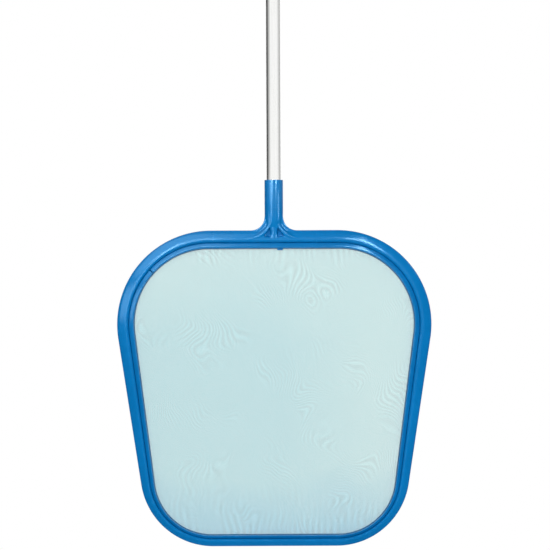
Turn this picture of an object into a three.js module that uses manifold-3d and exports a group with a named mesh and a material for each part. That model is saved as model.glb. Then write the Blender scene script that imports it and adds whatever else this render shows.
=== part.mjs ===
// Leaf skimmer net on a two-section telescoping pole, hanging by the hole in its end cap.
// Millimetres, +X right, +Y back, +Z up. The net faces -Y. The origin is the centre of the hanging
// hole, so the whole object hangs below it.
import * as THREE from "three";
import { mergeVertices } from "three/addons/utils/BufferGeometryUtils.js";
import Module from "manifold-3d";

const wasm = await Module();
wasm.setup();

// ---- Driving dimensions ----

const gap = 0.3; // clearance between pieces that touch
const overcut = 1; // how far a cut runs past the face that it opens

// Net frame, seen from the front. The rim is a trapezoid with round corners, and its band is wider
// at the top than at the bottom.
const rimHeight = 420.5;
const rimTopWidth = 460; // where the side lines meet the top line
const rimBottomWidth = 331;
const rimTopRadius = 125;
const rimBottomRadius = 97;
const bandTop = 24.8;
const bandBottom = 15.5;
const bandSideTop = 26.6;
const bandSideBottom = 16.4;
const eyeTopRadius = 99.5;
const eyeBottomRadius = 76.5;

// Net frame, across the band. Shares run from the outer edge, 0, to the inner edge, 1.
const crestShare = 0.42;
const grooveShare = 0.66;
const crestHeight = 10; // front of the rim, before the net's plane
const shoulderHeight = 4.4;
const lipHeight = 6.2;
const rimBackDepth = 9; // back of the rim, behind the net's plane
const mouldWall = 2.2;
const ledgeFront = 0.3; // the ledge that carries the net
const ledgeThickness = 2.2;
const ribCount = 28;
const ribThickness = 1.6;
const ribSetback = 2.5; // the ribs stop this short of the rim's back edge

// Retaining ring and net
const ringCrestHeight = 8.2;
const ringShoulderHeight = 5.2;
const ringEdgeSetback = 0.7;
const splitWidth = 1;
const splitAngle = 42; // degrees round the top left corner from its start on the top line
const tabWidth = 8;
const tabReach = 1.7; // past the frame's inner edge
const tabRoot = 2.5; // inside that edge, under the ring
const tabThickness = 2;
const tabX = 8;
const netThickness = 1.2;
const netPitch = 25;
const strandWidth = 2;
const hemReach = 1.2; // how far the net's bonded hem shows inside the frame's inner edge

// Socket and neck
const socketDiameter = 24.8;
const socketHeight = 68; // above the rim's top line
const socketFloor = 9;
const socketWallClearance = 0.3;
const neckFillet = 19;
const neckWebHeight = 6.4; // front of the sunk web between the arms
const noseRadius = 8; // the socket's lower end tapers to this inside the neck
const armRadius = 5;
const armBend = 38;
const armInset = 5; // where an arm's centre line meets the socket, from the middle

// Pole
const poleDiameter = 19.05;
const poleWall = 1;
const poleLength = 590;
const outerDiameter = 24;
const outerWall = 1.2;
const outerLength = 520;
const exposedLength = 265; // of the inner pole, from the socket's mouth to the lock nut
const tipLength = 14;
const tipFlange = 2;
const bushLength = 18;
const bushFlange = 7;
const bushClearance = 0.3;

// Twist lock
const nutDiameter = 35.5;
const nutLength = 34;
const nutRibs = 18;
const nutRibDepth = 1.2;
const nutLip = 3;
const mouthClearance = 0.4; // round the inner pole in the nut and in the tube stop
const threadDiameter = 29;
const colletLength = 13;
const colletThickness = 1.3;
const colletSlit = 2;
const collarDiameter = 32;
const collarLength = 17;
const tubeStop = 3;
const rivetShank = 3.2;
const rivetHead = 6;
const rivetHeadHeight = 1.3;

// Grip and end cap
const gripLength = 118;
const gripThickness = 3.4;
const gripGrooves = 7;
const grooveDepth = 0.9;
const capFlange = 5;
const capPlugLength = 24;
const tabHoleDiameter = 12;
const capTabWidth = 22;
const capTabThickness = 8;
const capTabRise = 15; // from the flange to the hole's centre

const tubeSides = 24;

// ---- Solids ----

function manifoldOf(geometry) {
  const bare = geometry.clone();
  bare.deleteAttribute("normal");
  bare.deleteAttribute("uv");
  const merged = mergeVertices(bare, 1e-4);
  const mesh = new wasm.Mesh({
    numProp: 3,
    vertProperties: new Float32Array(merged.attributes.position.array),
    triVerts: new Uint32Array(merged.index.array),
  });
  return new wasm.Manifold(mesh);
}

// The joins leave slivers where faces nearly meet, so corners closer than this are merged.
const sliver = 0.01;

function geometryOf(solid) {
  const mesh = solid.simplify(sliver).getMesh();
  const geometry = new THREE.BufferGeometry();
  geometry.setAttribute("position", new THREE.BufferAttribute(mesh.vertProperties, 3));
  geometry.setIndex(new THREE.BufferAttribute(mesh.triVerts, 1));
  geometry.computeVertexNormals();
  return geometry;
}

function joined(...geometries) {
  return geometries.map(manifoldOf).reduce((whole, piece) => whole.add(piece));
}

// A shape drawn in the front view, from its back face at backY forwards by depth.
function frontPlate(shape, backY, depth, curveSegments = 12) {
  const settings = { depth, bevelEnabled: false, curveSegments };
  return new THREE.ExtrudeGeometry(shape, settings).rotateX(Math.PI / 2).translate(0, backY, 0);
}

// A shape drawn in the top view, from bottomZ upwards by height.
function column(shape, bottomZ, height) {
  const settings = { depth: height, bevelEnabled: false, curveSegments: tubeSides };
  return new THREE.ExtrudeGeometry(shape, settings).translate(0, 0, bottomZ);
}

// A turned piece about Z. The profile is [radius, z] points, up the outside and down the inside.
function turned(profile, sides = tubeSides) {
  const points = profile.map(([radius, z]) => new THREE.Vector2(radius, z));
  return new THREE.LatheGeometry(points, sides).rotateX(Math.PI / 2);
}

// A plain tube wall about Z, closed on itself.
function tube(outerRadius, innerRadius, bottomZ, topZ, sides = tubeSides) {
  return turned(
    [
      [outerRadius, bottomZ],
      [outerRadius, topZ],
      [innerRadius, topZ],
      [innerRadius, bottomZ],
      [outerRadius, bottomZ],
    ],
    sides,
  );
}

function rod(radius, bottomZ, topZ, sides = tubeSides) {
  return turned(
    [
      [0, bottomZ],
      [radius, bottomZ],
      [radius, topZ],
      [0, topZ],
    ],
    sides,
  );
}

// ---- Outlines of the frame in the front view ----

const topLineSteps = 3; // on each side of the middle
const topCornerSteps = 14;
const sideLineSteps = 2;
const bottomCornerSteps = 10;
const bottomLineSteps = 2;

function segment(from, to, steps) {
  const points = [];
  for (let step = 0; step < steps; step += 1) {
    points.push(from.clone().lerp(to, step / steps));
  }
  return points;
}

function cornerArc(centre, radius, fromAngle, toAngle, steps) {
  const points = [];
  for (let step = 0; step < steps; step += 1) {
    const angle = fromAngle + ((toAngle - fromAngle) * step) / steps;
    const offset = new THREE.Vector2(Math.cos(angle), Math.sin(angle));
    points.push(centre.clone().addScaledVector(offset, radius));
  }
  return points;
}

function sideLean({ topZ, bottomZ, topHalf, bottomHalf }) {
  return Math.atan((topHalf - bottomHalf) / (topZ - bottomZ));
}

// The centre of the arc in the top right corner.
function topCornerCentre(outline) {
  const lean = sideLean(outline);
  const setIn = (outline.topRadius * (1 + Math.sin(lean))) / Math.cos(lean);
  return new THREE.Vector2(outline.topHalf - setIn, outline.topZ - outline.topRadius);
}

// A trapezoid with round corners, clockwise from the middle of its top line. All outlines made
// here have the same number of points, so point by point they face each other across the band.
function roundTrapezoid(outline) {
  const { topZ, bottomZ, bottomHalf, topRadius, bottomRadius } = outline;
  const lean = sideLean(outline);
  const topCentre = topCornerCentre(outline);
  const bottomCentre = new THREE.Vector2(
    bottomHalf - (bottomRadius * (1 - Math.sin(lean))) / Math.cos(lean),
    bottomZ + bottomRadius,
  );
  const sideNormal = new THREE.Vector2(Math.cos(lean), -Math.sin(lean));
  const sideTop = topCentre.clone().addScaledVector(sideNormal, topRadius);
  const sideBottom = bottomCentre.clone().addScaledVector(sideNormal, bottomRadius);
  const topMiddle = new THREE.Vector2(0, topZ);
  const topEnd = new THREE.Vector2(topCentre.x, topZ);
  const bottomEnd = new THREE.Vector2(bottomCentre.x, bottomZ);
  const bottomMiddle = new THREE.Vector2(0, bottomZ);
  const right = [
    ...segment(topMiddle, topEnd, topLineSteps),
    ...cornerArc(topCentre, topRadius, Math.PI / 2, -lean, topCornerSteps),
    ...segment(sideTop, sideBottom, sideLineSteps),
    ...cornerArc(bottomCentre, bottomRadius, -lean, -Math.PI / 2, bottomCornerSteps),
    ...segment(bottomEnd, bottomMiddle, bottomLineSteps),
    bottomMiddle,
  ];
  const left = right.slice(1, -1).map((point) => new THREE.Vector2(-point.x, point.y));
  return [...right, ...left.reverse()];
}

const rim = {
  topZ: 0,
  bottomZ: -rimHeight,
  topHalf: rimTopWidth / 2,
  bottomHalf: rimBottomWidth / 2,
  topRadius: rimTopRadius,
  bottomRadius: rimBottomRadius,
};

function rimHalfWidthAt(z) {
  return rim.topHalf + ((rim.bottomHalf - rim.topHalf) * (rim.topZ - z)) / rimHeight;
}

const eye = {
  topZ: -bandTop,
  bottomZ: bandBottom - rimHeight,
  topHalf: rimHalfWidthAt(-bandTop) - bandSideTop,
  bottomHalf: rimHalfWidthAt(bandBottom - rimHeight) - bandSideBottom,
  topRadius: eyeTopRadius,
  bottomRadius: eyeBottomRadius,
};

const eyeOutline = roundTrapezoid(eye);
const stations = roundTrapezoid(rim).map((outer, index) => ({ outer, inner: eyeOutline[index] }));

// The point of a station that lies a share of the way across the band, plus a shift in
// millimetres towards the inner edge.
function across(station, share, shift = 0) {
  const width = station.outer.distanceTo(station.inner);
  return station.outer.clone().lerp(station.inner, share + shift / width);
}

function outlineAt(share, shift) {
  return stations.map((station) => across(station, share, shift));
}

// A section carried round the band. Each point of the section is [share, shift, y].
function bandLoop(section) {
  const positions = [];
  const index = [];
  const count = section.length;
  stations.forEach((station, row) => {
    const nextRow = (row + 1) % stations.length;
    section.forEach(([share, shift, y], place) => {
      const point = across(station, share, shift);
      const next = (place + 1) % count;
      const here = [row * count + place, row * count + next];
      const there = [nextRow * count + place, nextRow * count + next];
      positions.push(point.x, y, point.y);
      index.push(here[0], there[1], there[0], here[0], here[1], there[1]);
    });
  });
  const geometry = new THREE.BufferGeometry();
  geometry.setAttribute("position", new THREE.Float32BufferAttribute(positions, 3));
  geometry.setIndex(index);
  return geometry;
}

// Two quarter ellipses that rise from a shoulder to a crest and fall to a lip, as section points.
function crown({ from, to, crestAt, shoulder, crest, lip, steps }) {
  const points = [];
  const mix = (a, b, t) => a.map((value, k) => value + (b[k] - value) * t);
  for (let step = 0; step <= steps; step += 1) {
    const angle = (Math.PI / 2) * (step / steps);
    const place = mix(from, crestAt, 1 - Math.cos(angle));
    points.push([...place, -(shoulder + (crest - shoulder) * Math.sin(angle))]);
  }
  for (let step = 1; step <= steps; step += 1) {
    const angle = (Math.PI / 2) * (step / steps);
    const place = mix(crestAt, to, Math.sin(angle));
    points.push([...place, -(lip + (crest - lip) * Math.cos(angle))]);
  }
  return points;
}

// ---- Head ----

const socketRadius = socketDiameter / 2;
const socketBore = poleDiameter / 2 + socketWallClearance;
const ledgeBack = ledgeFront + ledgeThickness;
const netBackY = ledgeFront - gap;
const netFrontY = netBackY - netThickness;
const ringBackY = netFrontY - gap;

function neckWebShape(inset) {
  const half = socketRadius - inset;
  const fillet = neckFillet + inset;
  const reach = half + fillet;
  const footZ = inset - mouldWall / 2;
  const rise = Math.asin(Math.min(1, (neckFillet - footZ) / fillet));
  const footHalf = reach - fillet * Math.cos(rise);
  const shape = new THREE.Shape();
  shape.moveTo(-footHalf, footZ);
  shape.lineTo(footHalf, footZ);
  shape.absarc(reach, neckFillet, fillet, rise - Math.PI, -Math.PI, true);
  shape.absarc(-reach, neckFillet, fillet, 0, -rise, true);
  return shape;
}

// An arm's ridge bends from the rim's crest up into the socket, and is cut flat inside the web.
// Side is 1 on the right, -1 on the left.
function neckArm(side) {
  const crestZ = -bandTop * crestShare;
  const bottom = new THREE.Vector3(side * (armInset + armBend), armRadius - crestHeight, crestZ);
  const corner = new THREE.Vector3(side * armInset, bottom.y, crestZ);
  const top = new THREE.Vector3(side * armInset, bottom.y, crestZ + armBend);
  const path = new THREE.QuadraticBezierCurve3(bottom, corner, top);
  const section = new THREE.Shape().absarc(0, 0, armRadius, 0, 2 * Math.PI);
  const settings = { extrudePath: path, steps: 12, curveSegments: 10, bevelEnabled: false };
  const bar = new THREE.ExtrudeGeometry(section, settings);
  const behind = new THREE.BoxGeometry(4 * armBend, 2 * crestHeight, 4 * armBend);
  behind.translate(0, crestHeight + mouldWall / 2 - neckWebHeight, 0);
  return manifoldOf(bar).subtract(manifoldOf(behind));
}

function channelRibs() {
  const lengths = [0];
  stations.forEach((station, index) => {
    const next = stations[(index + 1) % stations.length];
    lengths.push(lengths[index] + station.outer.distanceTo(next.outer));
  });
  const whole = lengths[stations.length];
  const ribs = [];
  for (let rib = 0; rib < ribCount; rib += 1) {
    const along = ((rib + 0.5) * whole) / ribCount;
    const index = lengths.findIndex((length) => length > along) - 1;
    const share = (along - lengths[index]) / (lengths[index + 1] - lengths[index]);
    const next = stations[(index + 1) % stations.length];
    const station = {
      outer: stations[index].outer.clone().lerp(next.outer, share),
      inner: stations[index].inner.clone().lerp(next.inner, share),
    };
    const from = across(station, 0, mouldWall / 2);
    const to = across(station, grooveShare, -mouldWall / 2);
    const depth = rimBackDepth - ribSetback + shoulderHeight;
    const plate = new THREE.BoxGeometry(from.distanceTo(to), depth, ribThickness);
    const middle = from.clone().lerp(to, 0.5);
    plate.rotateY(-Math.atan2(to.y - from.y, to.x - from.x));
    plate.translate(middle.x, rimBackDepth - ribSetback - depth / 2, middle.y);
    ribs.push(plate);
  }
  return ribs;
}

function netFrame() {
  const skin = crown({
    from: [0, 0],
    to: [grooveShare, 0],
    crestAt: [crestShare, 0],
    shoulder: shoulderHeight,
    crest: crestHeight,
    lip: lipHeight,
    steps: 4,
  });
  const underSkin = crown({
    from: [0, mouldWall],
    to: [grooveShare, -mouldWall],
    crestAt: [crestShare, 0],
    shoulder: shoulderHeight - mouldWall,
    crest: crestHeight - mouldWall,
    lip: lipHeight - mouldWall,
    steps: 2,
  });
  const section = [
    [0, 0, rimBackDepth],
    ...skin,
    [grooveShare, 0, ledgeFront],
    [1, 0, ledgeFront],
    [1, 0, ledgeBack],
    [grooveShare, 0, ledgeBack],
    [grooveShare, 0, rimBackDepth],
    [grooveShare, -mouldWall, rimBackDepth],
    ...underSkin.reverse(),
    [0, mouldWall, rimBackDepth],
  ];
  const noseBottom = -bandTop * grooveShare + mouldWall;
  const socketBody = turned([
    [0, noseBottom],
    [noseRadius, noseBottom],
    [socketRadius, neckFillet],
    [socketRadius, socketHeight],
    [0, socketHeight],
  ]);
  const webDepth = neckWebHeight + rimBackDepth;
  const web = frontPlate(neckWebShape(0), rimBackDepth, webDepth);
  const hollow = frontPlate(neckWebShape(mouldWall), rimBackDepth + overcut, webDepth + overcut - mouldWall);
  const channel = joined(bandLoop(section), ...channelRibs());
  const neck = manifoldOf(web).subtract(manifoldOf(hollow));
  const arms = neckArm(1).add(neckArm(-1));
  const body = channel.add(neck).add(arms).add(manifoldOf(socketBody));
  const bore = rod(socketBore, socketFloor, socketHeight + overcut);
  return geometryOf(body.subtract(manifoldOf(bore)));
}

function retainingRing() {
  const top = crown({
    from: [grooveShare, gap],
    to: [1, -ringEdgeSetback],
    crestAt: [(1 + grooveShare) / 2, (gap - ringEdgeSetback) / 2],
    shoulder: ringShoulderHeight,
    crest: ringCrestHeight,
    lip: ringShoulderHeight,
    steps: 3,
  });
  const section = [[grooveShare, gap, ringBackY], ...top, [1, -ringEdgeSetback, ringBackY]];
  const tab = new THREE.BoxGeometry(tabWidth, tabThickness, tabRoot + tabReach);
  tab.translate(tabX, ringBackY - tabThickness / 2, eye.topZ + (tabRoot - tabReach) / 2);
  const turn = THREE.MathUtils.degToRad(splitAngle);
  const split = new THREE.BoxGeometry(splitWidth, 2 * crestHeight, 2 * bandTop);
  const corner = topCornerCentre(eye);
  split.translate(0, 0, eyeTopRadius);
  split.rotateY(-turn);
  split.translate(-corner.x, 0, corner.y);
  return geometryOf(joined(bandLoop(section), tab).subtract(manifoldOf(split)));
}

function netMesh() {
  const sheet = frontPlate(new THREE.Shape(outlineAt(grooveShare, gap)), netBackY, netThickness);
  const opening = new THREE.Shape(outlineAt(1, hemReach));
  const eyeCut = frontPlate(opening, netBackY + overcut, netThickness + 2 * overcut);
  const height = eye.topZ - eye.bottomZ;
  const width = 2 * eye.topHalf;
  const middleY = netBackY - netThickness / 2;
  const middleZ = (eye.topZ + eye.bottomZ) / 2;
  const columns = Math.round(width / netPitch);
  const rows = Math.round(height / netPitch);
  const strands = [];
  for (let upright = 1; upright < columns; upright += 1) {
    const strand = new THREE.BoxGeometry(strandWidth, netThickness, rimHeight);
    strands.push(strand.translate((upright / columns - 0.5) * width, middleY, middleZ));
  }
  for (let level = 1; level < rows; level += 1) {
    const strand = new THREE.BoxGeometry(rimTopWidth, netThickness, strandWidth);
    strands.push(strand.translate(0, middleY, eye.bottomZ + (level / rows) * height));
  }
  const whole = manifoldOf(sheet);
  const hem = whole.subtract(manifoldOf(eyeCut));
  return geometryOf(hem.add(joined(...strands).intersect(whole)));
}

// ---- Pole ----
// Heights are measured from the rim's top line, as for the head.

const poleRadius = poleDiameter / 2;
const poleBore = poleRadius - poleWall;
const outerRadius = outerDiameter / 2;
const outerBore = outerRadius - outerWall;
const tipBottom = socketFloor + gap;
const poleBottom = tipBottom + tipFlange + gap;
const poleTop = poleBottom + poleLength;
const nutBottom = socketHeight + exposedLength;
const colletBottom = nutBottom + nutLip + gap;
const threadBottom = colletBottom + colletLength + gap;
const collarBottom = nutBottom + nutLength + gap;
const outerBottom = threadBottom + tubeStop + gap;
const outerTop = outerBottom + outerLength;
const capFlangeBottom = outerTop + gap;
const capFlangeTop = capFlangeBottom + capFlange;
const hangHoleZ = capFlangeTop + capTabRise;

function innerPole() {
  return tube(poleRadius, poleBore, poleBottom, poleTop);
}

function poleTip() {
  const flangeTop = tipBottom + tipFlange;
  const plugRadius = poleBore - gap;
  return turned([
    [0, tipBottom],
    [poleRadius - mouldWall / 4, tipBottom],
    [poleRadius, tipBottom + mouldWall / 4],
    [poleRadius, flangeTop],
    [plugRadius, flangeTop],
    [plugRadius, flangeTop + tipLength],
    [plugRadius - mouldWall, flangeTop + tipLength],
    [plugRadius - mouldWall, flangeTop],
    [0, flangeTop],
  ]);
}

function guideBush() {
  const flangeBottom = poleTop + gap;
  const plugRadius = poleBore - gap;
  const innerRadius = plugRadius - mouldWall;
  return turned([
    [plugRadius, flangeBottom - bushLength],
    [plugRadius, flangeBottom],
    [outerBore - bushClearance, flangeBottom],
    [outerBore - bushClearance, flangeBottom + bushFlange],
    [innerRadius, flangeBottom + bushFlange],
    [innerRadius, flangeBottom - bushLength],
    [plugRadius, flangeBottom - bushLength],
  ]);
}

const rivetZ = collarBottom + collarLength / 2;

// A hole or pin across the pole, along X from one radius to the next. Side is 1 or -1.
function crossPin(side, radius, from, to, sides = 16) {
  const pin = rod(radius, from, to, sides);
  return pin.rotateY((side * Math.PI) / 2).translate(0, 0, rivetZ);
}

function withRivetHoles(geometry) {
  let solid = manifoldOf(geometry);
  for (const side of [1, -1]) {
    const hole = crossPin(side, rivetShank / 2 + gap, poleRadius, collarDiameter);
    solid = solid.subtract(manifoldOf(hole));
  }
  return geometryOf(solid);
}

function outerPole() {
  return withRivetHoles(tube(outerRadius, outerBore, outerBottom, outerTop));
}

function lockBody() {
  const sleeveBore = outerRadius + gap;
  const stopBore = poleRadius + mouthClearance;
  const threadRadius = threadDiameter / 2;
  const collarRadius = collarDiameter / 2;
  const collarTop = collarBottom + collarLength;
  const chamfer = (collarRadius - sleeveBore) / 2;
  const sleeve = turned([
    [stopBore, threadBottom],
    [threadRadius, threadBottom],
    [threadRadius, collarBottom],
    [collarRadius, collarBottom],
    [collarRadius, collarTop - chamfer],
    [collarRadius - chamfer, collarTop],
    [sleeveBore, collarTop],
    [sleeveBore, threadBottom + tubeStop],
    [stopBore, threadBottom + tubeStop],
    [stopBore, threadBottom],
  ]);
  return withRivetHoles(sleeve);
}

function lockRivet(side) {
  const seat = collarDiameter / 2 + gap;
  const rivet = turned(
    [
      [0, outerBore],
      [rivetShank / 2, outerBore],
      [rivetShank / 2, seat],
      [rivetHead / 2, seat],
      [rivetHead / 2, seat + rivetHeadHeight / 3],
      [rivetHead / 4, seat + rivetHeadHeight],
      [0, seat + rivetHeadHeight],
    ],
    16,
  );
  return rivet.rotateY((side * Math.PI) / 2).translate(0, 0, rivetZ);
}

function lockCollet() {
  const bore = poleRadius + gap;
  const ring = tube(bore + colletThickness, bore, colletBottom, colletBottom + colletLength);
  const slit = new THREE.BoxGeometry(colletSlit, 2 * outerRadius, 2 * colletLength);
  slit.translate(0, outerRadius, colletBottom + colletLength / 2);
  return geometryOf(manifoldOf(ring).subtract(manifoldOf(slit)));
}

function lockNut() {
  const outline = new THREE.Shape();
  const stepsPerRib = 4;
  for (let step = 0; step < nutRibs * stepsPerRib; step += 1) {
    const angle = (2 * Math.PI * step) / (nutRibs * stepsPerRib);
    const wave = (1 - Math.cos(nutRibs * angle)) / 2;
    const radius = nutDiameter / 2 - nutRibDepth * wave;
    const point = [radius * Math.cos(angle), radius * Math.sin(angle)];
    if (step === 0) {
      outline.moveTo(...point);
    } else {
      outline.lineTo(...point);
    }
  }
  const colletCavity = poleRadius + gap + colletThickness + gap;
  const threadCavity = threadDiameter / 2 + gap;
  const cavity = turned([
    [0, nutBottom - overcut],
    [poleRadius + mouthClearance, nutBottom - overcut],
    [poleRadius + mouthClearance, nutBottom + nutLip],
    [colletCavity, nutBottom + nutLip],
    [colletCavity, threadBottom - gap],
    [threadCavity, threadBottom - gap],
    [threadCavity, nutBottom + nutLength + overcut],
    [0, nutBottom + nutLength + overcut],
  ]);
  const taper = nutDiameter / 2 - nutRibDepth;
  const envelope = turned([
    [0, nutBottom],
    [taper - nutLip / 2, nutBottom],
    [nutDiameter / 2, nutBottom + nutLip],
    [nutDiameter / 2, nutBottom + nutLength - nutLip / 2],
    [taper, nutBottom + nutLength],
    [0, nutBottom + nutLength],
  ]);
  const ribbed = manifoldOf(column(outline, nutBottom, nutLength));
  return geometryOf(ribbed.intersect(manifoldOf(envelope)).subtract(manifoldOf(cavity)));
}

function grip() {
  const bore = outerRadius + gap;
  const radius = bore + gripThickness;
  const bottom = outerTop - gripLength;
  const pitch = gripLength / (gripGrooves + 1);
  const profile = [
    [radius - gripThickness / 2, bottom],
    [radius, bottom + gripThickness],
  ];
  for (let groove = 1; groove <= gripGrooves; groove += 1) {
    const middle = bottom + groove * pitch;
    profile.push([radius, middle - pitch / 4]);
    profile.push([radius - grooveDepth, middle]);
    profile.push([radius, middle + pitch / 4]);
  }
  profile.push([radius, outerTop]);
  profile.push([bore, outerTop]);
  profile.push([bore, bottom]);
  profile.push(profile[0]);
  return turned(profile);
}

function endCap() {
  const plugRadius = outerBore - gap;
  const flangeRadius = outerRadius + gap + gripThickness;
  const plug = turned([
    [0, outerTop - capPlugLength],
    [plugRadius - mouldWall / 2, outerTop - capPlugLength],
    [plugRadius, outerTop - capPlugLength + mouldWall],
    [plugRadius, capFlangeBottom],
    [flangeRadius, capFlangeBottom],
    [flangeRadius, capFlangeTop - mouldWall],
    [flangeRadius - mouldWall, capFlangeTop],
    [0, capFlangeTop],
  ]);
  const half = capTabWidth / 2;
  const tab = new THREE.Shape();
  tab.moveTo(-half, capFlangeBottom + capFlange / 2);
  tab.lineTo(half, capFlangeBottom + capFlange / 2);
  tab.lineTo(half, hangHoleZ);
  tab.absarc(0, hangHoleZ, half, 0, Math.PI);
  tab.holes.push(new THREE.Path().absarc(0, hangHoleZ, tabHoleDiameter / 2, 0, 2 * Math.PI, true));
  return geometryOf(joined(plug, frontPlate(tab, capTabThickness / 2, capTabThickness, 12)));
}

// ---- Assembly ----

const bluePlastic = { color: 0x0f78bc, roughness: 0.35, metalness: 0 };
const paleNet = { color: 0xc8e2e4, roughness: 0.8, metalness: 0 };
const aluminium = { color: 0xd9dcde, roughness: 0.3, metalness: 1 };
const whitePlastic = { color: 0xe8eaec, roughness: 0.5, metalness: 0 };
const greyPlastic = { color: 0x3d4248, roughness: 0.5, metalness: 0 };
const gripRubber = { color: 0x1d5f99, roughness: 0.8, metalness: 0 };

function named(name, geometry, finish) {
  const mesh = new THREE.Mesh(geometry, new THREE.MeshStandardMaterial(finish));
  mesh.name = name;
  return mesh;
}

const head = new THREE.Group();
head.add(named("net_frame", netFrame(), bluePlastic));
head.add(named("retaining_ring", retainingRing(), bluePlastic));
head.add(named("net_mesh", netMesh(), paleNet));

const pole = new THREE.Group();
pole.add(named("inner_pole", innerPole(), aluminium));
pole.add(named("pole_tip", poleTip(), greyPlastic));
pole.add(named("guide_bush", guideBush(), whitePlastic));
pole.add(named("outer_pole", outerPole(), aluminium));

const twistLock = new THREE.Group();
twistLock.add(named("lock_body", lockBody(), greyPlastic));
twistLock.add(named("lock_collet", lockCollet(), whitePlastic));
twistLock.add(named("lock_nut", lockNut(), bluePlastic));
twistLock.add(named("lock_rivet_right", lockRivet(1), aluminium));
twistLock.add(named("lock_rivet_left", lockRivet(-1), aluminium));

const handle = new THREE.Group();
handle.add(named("grip", grip(), gripRubber));
handle.add(named("end_cap", endCap(), bluePlastic));

const skimmer = new THREE.Group();
skimmer.add(head, pole, twistLock, handle);
skimmer.position.z = -hangHoleZ;

export default skimmer;
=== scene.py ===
"""A leaf skimmer net on a two-section telescoping pole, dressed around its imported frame.

Metres, +X right, +Y back, +Z up. The net faces -Y, and the origin is the hanging hole in the end
cap. Each sub-assembly is a class: its fields are the real sizes, its methods build the surfaces as
numpy grids and dress them. Places come from the frame's boxes.
"""

from __future__ import annotations

import logging
import math
from collections.abc import Sequence
from dataclasses import dataclass, field
from enum import Enum

import bmesh
import bpy
import numpy as np
from mathutils import Matrix, Vector


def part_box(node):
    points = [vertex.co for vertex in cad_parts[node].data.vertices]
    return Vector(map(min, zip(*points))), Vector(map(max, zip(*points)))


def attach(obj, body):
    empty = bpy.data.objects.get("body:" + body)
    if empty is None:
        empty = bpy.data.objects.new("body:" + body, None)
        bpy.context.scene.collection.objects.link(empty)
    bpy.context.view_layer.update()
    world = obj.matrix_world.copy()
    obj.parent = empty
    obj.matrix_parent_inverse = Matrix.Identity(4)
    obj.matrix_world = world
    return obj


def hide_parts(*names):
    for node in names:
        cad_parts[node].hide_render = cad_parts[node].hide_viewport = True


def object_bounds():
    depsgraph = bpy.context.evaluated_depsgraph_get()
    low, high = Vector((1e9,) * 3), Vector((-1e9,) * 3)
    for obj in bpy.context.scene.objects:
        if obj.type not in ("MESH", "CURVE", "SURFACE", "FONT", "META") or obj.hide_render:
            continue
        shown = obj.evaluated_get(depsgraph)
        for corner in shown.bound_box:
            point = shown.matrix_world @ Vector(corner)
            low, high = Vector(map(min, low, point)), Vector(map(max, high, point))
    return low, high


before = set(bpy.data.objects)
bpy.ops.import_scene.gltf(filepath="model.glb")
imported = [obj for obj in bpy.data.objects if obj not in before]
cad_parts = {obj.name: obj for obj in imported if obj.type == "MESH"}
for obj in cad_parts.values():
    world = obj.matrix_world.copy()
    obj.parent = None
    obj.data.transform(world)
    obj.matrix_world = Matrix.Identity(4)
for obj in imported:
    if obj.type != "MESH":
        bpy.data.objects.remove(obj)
cad_box = [list(corner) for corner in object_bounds()]

Array = np.ndarray
Colour = tuple[float, float, float]
Corners = Sequence[tuple[float, float, float]]
Mesh = bpy.types.Mesh
Object = bpy.types.Object
Material = bpy.types.Material
Socket = bpy.types.NodeSocket

MM = 0.001
WHITE: Colour = (1.0, 1.0, 1.0)
log = logging.getLogger("skimmer")


class Body(Enum):
    """The bodies that the pieces ride on."""

    HANDLE = "handle"
    NUT = "nut"
    BUSH = "bush"
    POLE = "pole"
    HEAD = "head"


class Slot(Enum):
    """The material slots of the record."""

    FRAME = "frame_plastic"
    RING = "ring_plastic"
    NET = "net_fabric"
    ALUMINIUM = "pole_aluminium"
    DARK = "dark_plastic"
    WHITE = "white_plastic"
    GRIP = "grip_rubber"


class Side(Enum):
    """The two sides of the object as its front is seen."""

    RIGHT = 1
    LEFT = -1


# ---- Grids, shells and pieces ----


def stacked(*axes: Array | float) -> Array:
    """Broadcasts coordinates against each other and stacks them as an array's last axis."""
    return np.stack(np.broadcast_arrays(*axes), axis=-1)


@dataclass
class Shell:
    """A surface gathered from grids of points, all in one mesh.

    Attributes:
        points: The vertices, as one (n, 3) array for each grid.
        faces: The faces, as tuples of vertex numbers.
    """

    points: list[Array] = field(default_factory=list)
    faces: list[tuple[int, ...]] = field(default_factory=list)

    @property
    def count(self) -> int:
        """The number of vertices so far."""
        return sum(len(block) for block in self.points)

    def grid(self, points: Array, wrap_rows: bool = False, wrap_columns: bool = True) -> Shell:
        """Adds a grid of quads.

        The quad at (i, j) joins the points (i, j), (i, j + 1), (i + 1, j + 1) and (i + 1, j).

        Args:
            points: The grid's points, shaped (rows, columns, 3).
            wrap_rows: Whether the last row joins the first.
            wrap_columns: Whether the last column joins the first.

        Returns:
            The shell itself.
        """
        rows, columns = points.shape[:2]
        number = np.arange(rows * columns).reshape(rows, columns) + self.count
        below = np.roll(number, -1, axis=0) if wrap_rows else number[1:]
        here = number if wrap_rows else number[:-1]
        quads = stacked(here, np.roll(here, -1, 1), np.roll(below, -1, 1), below)
        if not wrap_columns:
            quads = quads[:, :-1]
        self.points.append(points.reshape(-1, 3))
        self.faces += [tuple(quad) for quad in quads.reshape(-1, 4).tolist()]
        return self

    def tube(self, points: Array) -> Shell:
        """Adds a grid whose columns close on themselves, with a flat lid on its first and last row.

        Args:
            points: The grid's points, shaped (rows, columns, 3).

        Returns:
            The shell itself.
        """
        start = self.count
        rows, columns = points.shape[:2]
        self.grid(points)
        first = range(start, start + columns)
        last = range(start + (rows - 1) * columns, start + rows * columns)
        self.faces += [tuple(reversed(first)), tuple(last)]
        return self

    def mesh(self, name: str = "shape") -> Mesh:
        """Makes a mesh of the name, with its faces pointing outwards."""
        made = bpy.data.meshes.new(name)
        made.from_pydata(np.concatenate(self.points), [], self.faces)
        return outward(made)


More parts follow.
